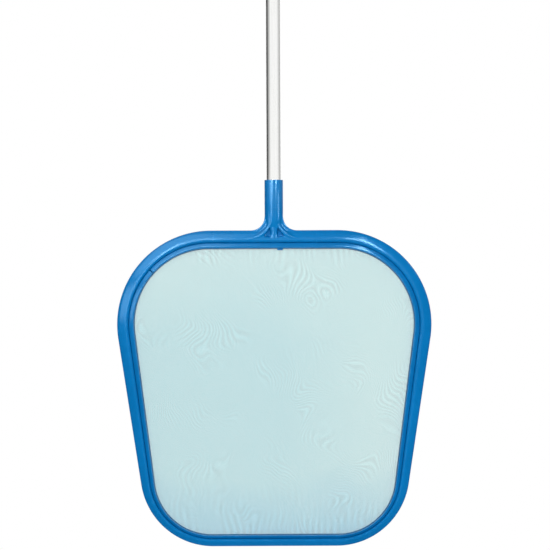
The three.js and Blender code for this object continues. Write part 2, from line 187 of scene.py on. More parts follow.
def outward(mesh: Mesh, weld: float = 1e-7) -> Mesh:
    """Merges a mesh's doubled points and turns its faces outwards.

    Args:
        mesh: The mesh to mend.
        weld: Points closer than this are merged.

    Returns:
        The same mesh.
    """
    work = bmesh.new()
    work.from_mesh(mesh)
    bmesh.ops.remove_doubles(work, verts=work.verts, dist=weld)
    bmesh.ops.recalc_face_normals(work, faces=work.faces)
    if work.calc_volume(signed=True) < 0:
        bmesh.ops.reverse_faces(work, faces=work.faces)
    work.to_mesh(mesh)
    work.free()
    return mesh


def loose_object(name: str, data: bpy.types.ID) -> Object:
    """Puts a mesh, a lamp or a camera in the scene as an object at the origin."""
    made = bpy.data.objects.new(name, data)
    bpy.context.scene.collection.objects.link(made)
    return made


def evaluated(obj: Object) -> Mesh:
    """Returns a new mesh that holds the object's modifiers' result."""
    graph = bpy.context.evaluated_depsgraph_get()
    graph.update()
    return bpy.data.meshes.new_from_object(obj.evaluated_get(graph), depsgraph=graph)


def combined(base: Mesh, tool: Shell, operation: str) -> Mesh:
    """Joins a closed shell to a closed mesh, or cuts it out, exactly.

    Args:
        base: The mesh that is kept.
        tool: The shell that is added or taken away.
        operation: UNION or DIFFERENCE.

    Returns:
        The resulting mesh.
    """
    kept = loose_object("kept", base)
    other = loose_object("other", tool.mesh())
    step = kept.modifiers.new("combine", "BOOLEAN")
    step.operation = operation
    step.solver = "EXACT"
    step.object = other
    made = evaluated(kept)
    for used in (kept, other):
        bpy.data.objects.remove(used)
    return made


def joined_mesh(meshes: Sequence[Mesh]) -> Mesh:
    """Puts several closed meshes into one mesh, side by side."""
    work = bmesh.new()
    for part in meshes:
        work.from_mesh(part)
    made = bpy.data.meshes.new("joined")
    work.to_mesh(made)
    work.free()
    return made


def numbers(items: Sequence, name: str, size: int = 3, kind: type = np.float32) -> Array:
    """Reads an attribute of every item in a mesh's collection, in rows of a size."""
    flat = np.empty(len(items) * size, kind)
    items.foreach_get(name, flat)
    return flat.reshape(-1, size)


def mark(mesh: Mesh, name: str, values: Array) -> None:
    """Gives a mesh an attribute of one number a vertex."""
    made = mesh.attributes.new(name, "FLOAT", "POINT")
    made.data.foreach_set("value", values.astype(np.float32).ravel())


def edge_sharpness(mesh: Mesh) -> Array:
    """Measures how sharply each vertex stands out.

    The bend along an edge is twice the height of one end over the other end's tangent plane,
    divided by the edge's length squared. A vertex takes the sharpest bend of its edges, in 1/m.

    Args:
        mesh: The mesh to measure.

    Returns:
        One value a vertex, where 2000 is an edge rounded to 0.5 mm.
    """
    place, normal = numbers(mesh.vertices, "co"), numbers(mesh.vertex_normals, "vector")
    one, two = numbers(mesh.edges, "vertices", 2, np.int32).T
    span = place[one] - place[two]
    length = np.maximum((span**2).sum(1), 1e-12)
    bend = np.zeros(len(place))
    np.maximum.at(bend, one, 2 * (normal[one] * span).sum(1) / length)
    np.maximum.at(bend, two, -2 * (normal[two] * span).sum(1) / length)
    return bend


@dataclass(frozen=True)
class Seat:
    """Where a piece belongs.

    Attributes:
        body: The body that it rides on.
        slot: The record's slot that its finish belongs to. It is not used.
        node: The CAD node that it stands for.
    """

    body: Body
    slot: Slot
    node: str


EDGE_ATTRIBUTE = "edge"
RING_SHADOW_ATTRIBUTE = "ring_shadow_mask"
SMOOTH_ANGLE = math.radians(38)


def dressed(name: str, mesh: Mesh, seat: Seat, material: Material) -> Object:
    """Makes a finished piece of a mesh and seats it in the frame.

    Args:
        name: The piece's name.
        mesh: Its mesh, in place in the row frame.
        seat: Where it belongs.
        material: Its material.

    Returns:
        The new object.
    """
    mesh.name = name
    mesh.shade_smooth()
    mesh.set_sharp_from_angle(angle=SMOOTH_ANGLE)
    mark(mesh, EDGE_ATTRIBUTE, edge_sharpness(mesh))
    mesh.materials.clear()
    mesh.materials.append(material)
    piece = loose_object(name, mesh)
    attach(piece, seat.body.value)
    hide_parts(seat.node)
    log.info("%s: %d faces on %s", name, len(mesh.polygons), seat.body.value)
    return piece


# ---- Curves and profiles ----


def curve(start: Array, corner: Array, end: Array, steps: int) -> Array:
    """Points on the quadratic curve (1 - t)^2 start + 2 t (1 - t) corner + t^2 end."""
    t = np.linspace(0, 1, steps + 1)[:, None]
    return (1 - t) ** 2 * start + 2 * t * (1 - t) * corner + t**2 * end


def softened(corners: Corners, closed: bool, steps: int = 4) -> Array:
    """Rounds a profile's corners.

    Each corner is replaced by a quadratic curve that leaves one side, and reaches the other, a
    given distance from the corner.

    Args:
        corners: (radius, height, distance) of each corner.
        closed: Whether the last corner joins the first.
        steps: Steps of each rounding.

    Returns:
        The profile's points, shaped (n, 2).
    """
    places = np.array([(a, b) for a, b, _ in corners])
    points = []
    last = len(places) - 1
    for index, (place, (_, _, cut)) in enumerate(zip(places, corners)):
        if cut == 0 or (not closed and index in (0, last)):
            points.append(place[None])
            continue
        before = places[index - 1] - place
        after = places[(index + 1) % len(places)] - place
        start = place + before / np.linalg.norm(before) * cut
        end = place + after / np.linalg.norm(after) * cut
        points.append(curve(start, place, end, steps))
    return np.concatenate(points)


def around(count: int) -> Array:
    """Angles evenly spaced round one turn, from 0."""
    return np.linspace(0, 2 * math.pi, count, endpoint=False)


def spun(profile: Array, sides: int = 96) -> Array:
    """Turns a profile about Z.

    The point at (i, j) is (r cos a, r sin a, z) of profile point i at angle a = 2 pi j / sides.

    Args:
        profile: (radius, height) points.
        sides: Steps round the axis.

    Returns:
        The grid, shaped (len(profile), sides, 3).
    """
    angle = around(sides)
    radius, height = profile[:, :1], profile[:, 1:]
    return stacked(radius * np.cos(angle), radius * np.sin(angle), height)


def turned(corners: Corners, closed: bool, sides: int = 96, steps: int = 4) -> Shell:
    """Turns a softened profile about Z, as a ring if it is closed, or else as a solid with two lids.

    Args:
        corners: (radius, height, distance) of each corner, as softened() takes them.
        closed: Whether the last corner joins the first.
        sides: Steps round the axis.
        steps: Steps of each rounding.

    Returns:
        The closed shell.
    """
    grid = spun(softened(corners, closed, steps), sides)
    return Shell().grid(grid, wrap_rows=True) if closed else Shell().tube(grid)


def lying(grid: Array, side: Side, height: float) -> Array:
    """Lays a grid that was turned about Z along X, towards one side and at a height."""
    return stacked(grid[..., 2] * side.value, grid[..., 1], grid[..., 0] + height)


def bell(distance: Array, width: float) -> Array:
    """A smooth bump of height 1 that falls to 0 at a distance of width."""
    reach = np.clip(np.abs(distance) / width, 0, 1)
    return (1 - reach**2) ** 2


def ramp(value: Array, low: float, high: float) -> Array:
    """A smooth step from 0 at low to 1 at high."""
    share = np.clip((value - low) / (high - low), 0, 1)
    return share * share * (3 - 2 * share)


# ---- Finishes ----


class Sheet:
    """A node tree that is filled a node at a time."""

    def __init__(self, tree: bpy.types.NodeTree) -> None:
        """Keeps the tree that the nodes go into."""
        self.tree = tree

    def add(self, kind: str, *inputs: object, **settings: object) -> bpy.types.Node:
        """Adds a node.

        Args:
            kind: The node's type, without its ShaderNode prefix.
            inputs: Values or output sockets for its first inputs, None to leave one.
            settings: Attributes to set on the node first.

        Returns:
            The new node.
        """
        node = self.tree.nodes.new("ShaderNode" + kind)
        for name, value in settings.items():
            setattr(node, name, value)
        for socket, value in zip(node.inputs, inputs):
            self.feed(socket, value)
        return node

    def feed(self, socket: Socket, value: object) -> None:
        """Links an output socket into a socket, or sets its plain value."""
        if isinstance(value, Socket):
            self.tree.links.new(value, socket)
        elif value is not None:
            socket.default_value = value

    def fill(self, node: bpy.types.Node, values: dict[str, object]) -> None:
        """Feeds several of a node's inputs, each by its name."""
        for label, value in values.items():
            self.feed(node.inputs[label], value)

    def maths(self, operation: str, *inputs: object) -> Socket:
        """Adds a Math node and returns its result."""
        return self.add("Math", *inputs, operation=operation).outputs[0]

    def weighted(self, one: object, weight: float, two: object, other: float) -> Socket:
        """Adds two values, each times its own weight."""
        return self.maths("ADD", self.maths("MULTIPLY", one, weight), self.maths("MULTIPLY", two, other))

    def shifted(self, value: object, push: object, weight: float) -> Socket:
        """Adds a push, times its weight, to a value."""
        return self.maths("ADD", value, self.maths("MULTIPLY", push, weight))

    def noise(self, place: object, scale: object, detail: float, rough: float = 0.5) -> Socket:
        """Adds a Noise Texture node and returns its value."""
        return self.add("TexNoise", place, None, scale, detail, rough).outputs[0]

    def spread(
        self, value: object, low: object, high: object, to_low: float = 0.0, to_high: float = 1.0
    ) -> Socket:
        """Maps a range of values to another, clamped, and returns the result."""
        return self.add("MapRange", value, low, high, to_low, to_high).outputs[0]

    def mixed(self, factor: object, one: object, two: object) -> Socket:
        """Mixes two colours and returns the result."""
        node = self.add("Mix", data_type="RGBA", blend_type="MIX")
        self.feed(node.inputs["Factor"], factor)
        colours = [socket for socket in node.inputs if socket.type == "RGBA"]
        self.feed(colours[0], one)
        self.feed(colours[1], two)
        return next(socket for socket in node.outputs if socket.type == "RGBA")

    def bump(self, strength: float, distance: float, height: object) -> Socket:
        """Adds a Bump node and returns its normal."""
        node = self.add("Bump", strength, distance)
        self.feed(node.inputs["Height"], height)
        return node.outputs[0]

    def seen_white(self) -> Socket:
        """Is 1 for the rays that see the studio plain white: from the camera, gloss and clear things."""
        rays = self.add("LightPath").outputs
        seen = self.maths("MAXIMUM", rays["Is Camera Ray"], rays["Is Glossy Ray"])
        return self.maths("MAXIMUM", seen, rays["Is Transmission Ray"])


def opaque(colour: Colour, share: float = 1.0) -> tuple[float, float, float, float]:
    """A share of a colour with full alpha, as sockets take it."""
    return (*(value * share for value in colour), 1.0)


def node_group(
    name: str, inputs: dict[str, float | None], outputs: Sequence[str]
) -> tuple[Sheet, bpy.types.NodeOutputs, bpy.types.NodeInputs]:
    """Starts a shader node group with named sockets.

    Args:
        name: The group's name.
        inputs: The default of each number that goes in, or None where a vector goes in.
        outputs: The names of the numbers that come out.

    Returns:
        The sheet of the group's tree, what its nodes are given, and what they feed.
    """
    tree = bpy.data.node_groups.new(name, "ShaderNodeTree")
    for label, default in inputs.items():
        kind = "NodeSocketVector" if default is None else "NodeSocketFloat"
        socket = tree.interface.new_socket(label, in_out="INPUT", socket_type=kind)
        if default is not None:
            socket.default_value = default
    for label in outputs:
        tree.interface.new_socket(label, in_out="OUTPUT", socket_type="NodeSocketFloat")
    given, out = tree.nodes.new("NodeGroupInput"), tree.nodes.new("NodeGroupOutput")
    return Sheet(tree), given.outputs, out.inputs


class Effects:
    """The node groups that several finishes share, each built once."""

    def __init__(self) -> None:
        """Builds the groups."""
        self.grain = self.build_grain()
        self.wear = self.build_wear()
        self.drawn = self.build_drawn()
        self.weave = self.build_weave()
        self.moire = self.build_moire()

    @staticmethod
    def place(sheet: Sheet, tree: bpy.types.NodeTree, **values: object) -> bpy.types.NodeOutputs:
        """Places a group in a sheet with its own values and returns its outputs."""
        node = sheet.tree.nodes.new("ShaderNodeGroup")
        node.node_tree = tree
        sheet.fill(node, values)
        return node.outputs

    @staticmethod
    def build_grain() -> bpy.types.NodeTree:
        """Moulded plastic: broad flow marks, and the fine grain of the tool's face."""
        sheet, given, out = node_group(
            "mould_grain", {"Vector": None, "Flow": 14, "Fine": 1800}, ("Tone", "Height")
        )
        flow = sheet.noise(given["Vector"], given["Flow"], 3.0, 0.55)
        streaks = sheet.noise(given["Vector"], sheet.maths("MULTIPLY", given["Flow"], 9.0), 2.0)
        fine = sheet.noise(given["Vector"], given["Fine"], 2.0)
        sheet.feed(out["Tone"], sheet.weighted(flow, 0.7, streaks, 0.3))
        sheet.feed(out["Height"], sheet.weighted(streaks, 0.8, fine, 0.2))
        return sheet.tree

    @staticmethod
    def build_wear() -> bpy.types.NodeTree:
        """Rubbed edges: the sharp edges of a piece, broken up by noise."""
        sheet, given, out = node_group("edge_wear", {"Vector": None, "Low": 500, "High": 2500}, ("Mask",))
        edge = sheet.add("Attribute", attribute_name=EDGE_ATTRIBUTE).outputs["Fac"]
        sharp = sheet.spread(edge, given["Low"], given["High"])
        broken = sheet.spread(sheet.noise(given["Vector"], 90.0, 4.0, 0.7), 0.42, 0.62)
        sheet.feed(out["Mask"], sheet.maths("MULTIPLY", sharp, broken))
        return sheet.tree

    @staticmethod
    def build_drawn() -> bpy.types.NodeTree:
        """Drawn tube: fine lines along Z, as the die leaves them, and faint handling marks."""
        sheet, given, out = node_group("drawn_lines", {"Vector": None}, ("Lines", "Marks"))
        squeeze = (1.0, 1.0, 0.012)
        stretched = sheet.add("VectorMath", given["Vector"], squeeze, operation="MULTIPLY").outputs[0]
        fine = sheet.noise(stretched, 2600.0, 3.0, 0.6)
        broad = sheet.noise(stretched, 420.0, 2.0)
        sheet.feed(out["Lines"], sheet.weighted(fine, 0.65, broad, 0.35))
        sheet.feed(out["Marks"], sheet.spread(sheet.noise(given["Vector"], 24.0, 4.0, 0.6), 0.5, 0.75))
        return sheet.tree

    @staticmethod
    def build_weave() -> bpy.types.NodeTree:
        """Plain weave in the XZ plane.

        A thread covers the share of each pitch that is nearest to its middle line. Cover is 1 on
        either thread. Height is each thread's round back, raised where it passes over.
        """
        sheet, given, out = node_group(
            "plain_weave", {"Vector": None, "Pitch": 1, "Share": 0.5}, ("Cover", "Height")
        )
        axes = sheet.add("SeparateXYZ", given["Vector"]).outputs
        count = [sheet.maths("DIVIDE", axes[name], given["Pitch"]) for name in ("X", "Z")]
        backs, covers = [], []
        for value in count:
            off_middle = sheet.maths("MULTIPLY", sheet.maths("PINGPONG", value, 0.5), 2.0)
            share = sheet.maths("DIVIDE", off_middle, given["Share"])
            covers.append(sheet.spread(share, 0.85, 1.15, 1.0, 0.0))
            backs.append(sheet.maths("SUBTRACT", 1.0, sheet.maths("MULTIPLY", share, share)))
        waves = [sheet.maths("COSINE", sheet.maths("MULTIPLY", value, math.pi)) for value in count]
        over = sheet.maths("MULTIPLY", sheet.maths("MULTIPLY", waves[0], waves[1]), 0.5)
        raised = sheet.maths("ADD", backs[0], over)
        lowered = sheet.maths("SUBTRACT", backs[1], over)
        sheet.feed(out["Cover"], sheet.maths("MAXIMUM", *covers))
        sheet.feed(out["Height"], sheet.maths("MAXIMUM", raised, lowered))
        return sheet.tree

    @staticmethod
    def build_moire() -> bpy.types.NodeTree:
        """Faint moire of a fine net: curved bands in patches, and upright ones near the rim.

        The bands are a sine of a place that noise has pulled about. The patches are where a
        coarser noise is high. The tone is 1 plus about a tenth of each, where it shows.
        """
        sheet, given, out = node_group("net_moire", {"Vector": None, "Low": 0, "High": 1}, ("Tone",))
        place = given["Vector"]
        axes = sheet.add("SeparateXYZ", place).outputs
        pull = sheet.noise(place, 13.0, 1.5)
        curved = sheet.shifted(sheet.shifted(axes["X"], axes["Z"], 0.55), pull, 0.16)
        band_pitch, upright_pitch = 0.0056, 0.0085
        bands = sheet.maths("SINE", sheet.maths("MULTIPLY", curved, 2 * math.pi / band_pitch))
        patch = sheet.spread(sheet.noise(place, 16.0, 2.0), 0.45, 0.62)
        bands = sheet.maths("MULTIPLY", bands, patch)
        sway = sheet.shifted(axes["X"], pull, 0.03)
        uprights = sheet.maths("SINE", sheet.maths("MULTIPLY", sway, 2 * math.pi / upright_pitch))
        near_low = sheet.spread(sheet.maths("SUBTRACT", axes["Z"], given["Low"]), 0.02, 0.07, 1.0, 0.0)
        near_high = sheet.spread(sheet.maths("SUBTRACT", given["High"], axes["Z"]), 0.01, 0.05, 0.7, 0.0)
        spot = sheet.spread(sheet.noise(place, 28.0, 2.0), 0.42, 0.6)
        uprights = sheet.maths("MULTIPLY", uprights, sheet.maths("MAXIMUM", near_low, near_high))
        uprights = sheet.maths("MULTIPLY", uprights, spot)
        sheet.feed(out["Tone"], sheet.maths("ADD", sheet.weighted(bands, 0.1, uprights, 0.12), 1.0))
        return sheet.tree


def new_material(name: str) -> tuple[Material, Sheet, bpy.types.Node, Socket]:
    """Starts a material.

    Args:
        name: The material's name.

    Returns:
        The material, its sheet, its Principled shader and the Object coordinates.
    """
    material = bpy.data.materials.new(name)
    material.use_nodes = True
    sheet = Sheet(material.node_tree)
    shader = material.node_tree.nodes["Principled BSDF"]
    coordinates = sheet.add("TexCoord").outputs["Object"]
    return material, sheet, shader, coordinates


@dataclass(frozen=True)
class MouldedPlastic:
    """An injection moulded finish.

    Attributes:
        name: The material's name.
        colour: The plastic's own colour.
        worn: The colour of a rubbed edge.
        roughness: The mean roughness.
        specular: The specular level of the gloss.
        tint: The gloss's own tint.
        contrast: How far the flow marks lighten and darken the colour.
        grain: Height of the tool's grain, in metres.
    """

    name: str
    colour: Colour
    worn: Colour
    roughness: float = 0.2
    specular: float = 0.45
    tint: Colour = (0.45, 0.8, 1.0)
    contrast: float = 0.06
    grain: float = 0.02 * MM

    def build(self, effects: Effects) -> Material:
        """Builds the material from the shared effects."""
        material, sheet, shader, place = new_material(self.name)
        grain = effects.place(sheet, effects.grain, Vector=place)
        wear = effects.place(sheet, effects.wear, Vector=place)
        dark, light = (opaque(self.colour, 1 + sign * self.contrast) for sign in (-1, 1))
        body = sheet.mixed(sheet.spread(grain["Tone"], 0.35, 0.65), dark, light)
        rough = sheet.spread(grain["Tone"], 0.35, 0.65, self.roughness * 0.92, self.roughness * 1.08)
        looks = {
            "Base Color": sheet.mixed(wear["Mask"], body, opaque(self.worn)),
            "Roughness": sheet.shifted(rough, wear["Mask"], 0.15),
            "Normal": sheet.bump(0.5, self.grain, grain["Height"]),
            "Specular IOR Level": self.specular,
            "Specular Tint": opaque(self.tint),
        }
        sheet.fill(shader, looks)
        return material


@dataclass(frozen=True)
class DrawnAluminium:
    """A drawn and anodised tube's finish.

    Attributes:
        name: The material's name.
        colour: The metal's colour.
        worn: The colour of a rubbed edge.
        roughness: The mean roughness.
        spread: How much further the gloss spreads round the tube than along it, 0 to 1.
        line_depth: Depth of the drawn lines, in metres.
    """

    name: str = "drawn_aluminium"
    colour: Colour = (0.96, 0.965, 0.95)
    worn: Colour = (0.93, 0.93, 0.93)
    roughness: float = 0.15
    spread: float = 0.8
    line_depth: float = 0.012 * MM

    def build(self, effects: Effects) -> Material:
        """Builds the material from the shared effects."""
        material, sheet, shader, place = new_material(self.name)
        drawn = effects.place(sheet, effects.drawn, Vector=place)
        wear = effects.place(sheet, effects.wear, Vector=place)
        tone = sheet.spread(drawn["Lines"], 0.35, 0.65)
        lined = sheet.mixed(tone, opaque(self.colour, 0.9), opaque(self.colour))
        rough = sheet.spread(drawn["Lines"], 0.3, 0.7, self.roughness * 0.8, self.roughness * 1.2)
        looks = {
            "Base Color": sheet.mixed(wear["Mask"], lined, opaque(self.worn)),
            "Roughness": sheet.shifted(rough, drawn["Marks"], 0.05),
            "Normal": sheet.bump(0.6, self.line_depth, drawn["Lines"]),
            "Metallic": 1.0,
            "Anisotropic": self.spread,
            "Tangent": sheet.add("Tangent", direction_type="RADIAL", axis="Z").outputs[0],
        }
        sheet.fill(shader, looks)
        return material


@dataclass(frozen=True)
class WovenNet:
    """The finish of the fine woven net.

    Attributes:
        name: The material's name.
        upper: The threads' colour at the top and right of the net, in painted light.
        middle: Their colour in its middle, in painted shade.
        lower: Their colour at its bottom, in deeper painted shade.
        ring_shadow: Their colour under the ring and along its inner edge, a painted shadow of the ring.
        pitch: Distance from thread to thread.
        share: The share of a pitch that a thread covers.
        thread_height: Height of a thread's round back.
        waver: How far the threads stray from straight lines.
    """

    name: str = "woven_net"
    upper: Colour = (0.44, 0.66, 0.66)
    middle: Colour = (0.35, 0.60, 0.63)
    lower: Colour = (0.21, 0.49, 0.6)
    ring_shadow: Colour = (0.012, 0.13, 0.26)
    pitch: float = 1.05 * MM
    share: float = 0.5
    thread_height: float = 0.18 * MM
    waver: float = 4 * MM

    def build(self, effects: Effects, low: float, high: float) -> Material:
        """Builds the material.

        Args:
            effects: The shared effects.
            low: Height of the net's bottom edge.
            high: Height of its top edge.

        Returns:
            The material.
        """
        material, sheet, shader, place = new_material(self.name)
        drift = sheet.add("TexNoise", place, None, 9.0, 2.0, 0.5).outputs["Color"]
        pull = sheet.add("VectorMath", drift, (self.waver, 0.0, self.waver), operation="MULTIPLY").outputs[0]
        woven = sheet.add("VectorMath", place, pull, operation="ADD").outputs[0]
        weave = effects.place(sheet, effects.weave, Vector=woven, Pitch=self.pitch, Share=self.share)
        ring_shadow_mask = sheet.add("Attribute", attribute_name=RING_SHADOW_ATTRIBUTE).outputs["Fac"]
        moire = effects.place(sheet, effects.moire, Vector=place, Low=low, High=high)
        shaded = sheet.add("VectorMath", self.shading(sheet, place, low, high), operation="SCALE")
        sheet.feed(shaded.inputs["Scale"], moire["Tone"])
        # Painted shadow: under the ring and along its inner edge the threads take the ring's dark blue shadow
        # colour.
        ring_shadow_share = sheet.maths("MULTIPLY", ring_shadow_mask, 0.9)
        looks = {
            "Base Color": sheet.mixed(ring_shadow_share, shaded.outputs[0], opaque(self.ring_shadow)),
            "Alpha": weave["Cover"],
            "Normal": sheet.bump(0.5, self.thread_height, weave["Height"]),
            "Roughness": 0.7,
            "Specular IOR Level": 0.15,
        }
        sheet.fill(shader, looks)
        return material

    def shading(self, sheet: Sheet, place: Socket, low: float, high: float) -> Socket:
        """The threads' colour with painted light and shade: pale at the top and right, deeper in the middle
        and at the bottom.

        Args:
            sheet: The material's sheet.
            place: The Object coordinates.
            low: Height of the net's bottom edge.
            high: Height of its top edge.

        Returns:
            The colour, whose borders a noise moves about.
        """
        axes = sheet.add("SeparateXYZ", place).outputs
        cloud = sheet.noise(place, 7.0, 3.0, 0.55)
        height = sheet.shifted(axes["Z"], cloud, 0.09)
        # Painted light at the top and right, painted shade deeper in the middle and towards the bottom.
        below_top = sheet.spread(height, high - 0.08, high + 0.03, 1.0, 0.0)
        off_right = sheet.spread(sheet.shifted(axes["X"], cloud, 0.06), 0.04, 0.16, 1.0, 0.0)
        painted_shade_share = sheet.maths("MULTIPLY", below_top, off_right)
        body = sheet.mixed(painted_shade_share, opaque(self.upper), opaque(self.middle))
        near_bottom = sheet.spread(height, low + 0.04, low + 0.13, 1.0, 0.0)
        return sheet.mixed(near_bottom, body, opaque(self.lower))


# ---- Head: rim and neck, snap ring and net ----


@dataclass(frozen=True)
class Steps:
    """How finely each stretch of an outline is divided, on one side of the middle."""

    top_line: int = 30
    top_corner: int = 84
    side_line: int = 44
    bottom_corner: int = 64
    bottom_line: int = 22


@dataclass(frozen=True)
class Outline:
    """A trapezoid with round corners, seen from the front.

    Attributes:
        top: Height of the top line.
        bottom: Height of the bottom line.
        top_half: Half its width where the side lines meet the top line.
        bottom_half: Half its width where they meet the bottom line.
        top_radius: Radius of the top corners.
        bottom_radius: Radius of the bottom corners.
    """

    top: float
    bottom: float
    top_half: float
    bottom_half: float
    top_radius: float
    bottom_radius: float

    @property
    def lean(self) -> float:
        """The angle between a side line and the upright."""
        return math.atan((self.top_half - self.bottom_half) / (self.top - self.bottom))

    @property
    def top_centre(self) -> Array:
        """The centre of the arc in the top right corner."""
        set_in = self.top_radius * (1 + math.sin(self.lean)) / math.cos(self.lean)
        return np.array([self.top_half - set_in, self.top - self.top_radius])

    @property
    def bottom_centre(self) -> Array:
        """The centre of the arc in the bottom right corner."""
        set_in = self.bottom_radius * (1 - math.sin(self.lean)) / math.cos(self.lean)
        return np.array([self.bottom_half - set_in, self.bottom + self.bottom_radius])

    def half_width_at(self, height: float) -> float:
        """Half the width between the side lines at a height."""
        share = (self.top - height) / (self.top - self.bottom)
        return self.top_half + (self.bottom_half - self.top_half) * share

    def trace(self, steps: Steps) -> Array:
        """Traces the outline clockwise from the middle of its top line.

        The right half is a line, an arc from straight up to the side line's normal, a line, an arc
        on to straight down, and a line. The left half is its mirror image.

        Args:
            steps: How finely it is divided.

        Returns:
            The points (x, z), shaped (n, 2).
        """
        lean, quarter = self.lean, math.pi / 2
        normal = np.array([math.cos(lean), -math.sin(lean)])
        upper, lower = self.top_centre, self.bottom_centre
        upper_end, lower_end = upper + normal * self.top_radius, lower + normal * self.bottom_radius
        foot = np.array([0, self.bottom])
        stretches = [
            self.line(np.array([0, self.top]), np.array([upper[0], self.top]), steps.top_line),
            self.arc(upper, self.top_radius, quarter, -lean, steps.top_corner),
            self.line(upper_end, lower_end, steps.side_line),
            self.arc(lower, self.bottom_radius, -lean, -quarter, steps.bottom_corner),
            self.line(np.array([lower[0], self.bottom]), foot, steps.bottom_line),
            foot[None],
        ]
        right = np.concatenate(stretches)
        left = right[1:-1][::-1] * [-1, 1]
        return np.concatenate([right, left])

    @staticmethod
    def line(start: Array, end: Array, steps: int) -> Array:
        """Points on a line, without its end."""
        share = np.linspace(0, 1, steps, endpoint=False)[:, None]
        return start + (end - start) * share

    @staticmethod
    def arc(centre: Array, radius: float, start: float, end: float, steps: int) -> Array:
        """Points on an arc, without its end."""
        angle = np.linspace(start, end, steps, endpoint=False)
        return centre + radius * stacked(np.cos(angle), np.sin(angle))


@dataclass(frozen=True)
class Section:
    """A section of the band, as a closed loop.

    Attributes:
        share: How far across the band each point lies, from 0 outside to 1 inside.
        shift: A shift in metres towards the inside.
        depth: The point's y.
    """

    share: Array
    shift: Array
    depth: Array

    @staticmethod
    def loop(parts: Sequence[Array]) -> Section:
        """Joins (share, shift, depth) rows into one section."""
        rows = np.concatenate(parts)
        return Section(rows[:, 0], rows[:, 1], rows[:, 2])

    @staticmethod
    def corner(
        share: float, shift: float, depth: float, radius: float, before: Array, after: Array, steps: int = 4
    ) -> Array:
        """Rounds a right-angled corner of a section.

        The arc's centre c lies one radius back along the way in and one radius along the way out.
        Its points are c + r (in sin a - out cos a), with a from 0 to 90 degrees.

        Args:
            share: The corner's share across the band.
            shift: Its shift.
            depth: Its y.
            radius: The rounding's radius.
            before: The way in, as (shift, depth) of length 1.
            after: The way out.
            steps: Steps of the arc.

        Returns:
            The section's rows.
        """
        angle = np.linspace(0, math.pi / 2, steps + 1)[:, None]
        centre = np.array([shift, depth]) - radius * before + radius * after
        arc = centre + radius * (before * np.sin(angle) - after * np.cos(angle))
        return np.column_stack([np.full(len(arc), share), arc])

    @staticmethod
    def skin(corners: Corners, eases: Sequence[float], steps: int = 9) -> Array:
        """A front skin: flat flanks that meet in round corners.

        At each inner corner a quadratic curve leaves the flank before, and reaches the flank
        after, at a share of that flank's length from the corner.

        Args:
            corners: Share, shift and y of each corner.
            eases: The share of the neighbouring flanks that each inner corner's curve takes.
            steps: Steps of each curve.

        Returns:
            The section's rows.
        """
        place = np.array(corners)
        rows = [place[:1]]
        for index, ease in enumerate(eases, start=1):
            corner = place[index]
            start = corner + (place[index - 1] - corner) * ease
            end = corner + (place[index + 1] - corner) * ease
            rows.append(curve(start, corner, end, steps))
        rows.append(place[-1:])
        return np.concatenate(rows)


@dataclass(frozen=True)
class Band:
    """The band between the frame's outer edge and its inner edge.

    Attributes:
        outer: The outer outline's points.
        inner: The inner outline's points, station by station.
    """

    outer: Array
    inner: Array

    def at(self, places: Array) -> tuple[Array, Array]:
        """The outer and inner points at fractional station numbers, which may pass the ends."""
        return self.read(self.outer, places), self.read(self.inner, places)

    @staticmethod
    def read(points: Array, places: Array) -> Array:
        """Reads a closed outline between its points, up to one turn past either end."""
        number = np.arange(-len(points), 2 * len(points))
        turns = np.tile(points, (3, 1))
        return np.stack([np.interp(places, number, turns[:, axis]) for axis in (0, 1)], axis=-1)

    def sweep(self, places: Array, section: Section) -> Array:
        """Carries a section along the band.

        The point of row i and column j is outer + (inner - outer) (share + shift / width).

        Args:
            places: Fractional station numbers.
            section: The section.

        Returns:
            The grid, shaped (len(places), points of the section, 3).
        """
        outer, inner = self.at(places)
        across = inner - outer
        width = np.linalg.norm(across, axis=1, keepdims=True)
        share = section.share + section.shift / width
        flat = outer[:, None] + across[:, None] * share[..., None]
        return stacked(flat[..., 0], section.depth, flat[..., 1])


FORWARD, BACK = np.array([0.0, -1.0]), np.array([0.0, 1.0])
INWARD, OUTWARD = np.array([1.0, 0.0]), np.array([-1.0, 0.0])


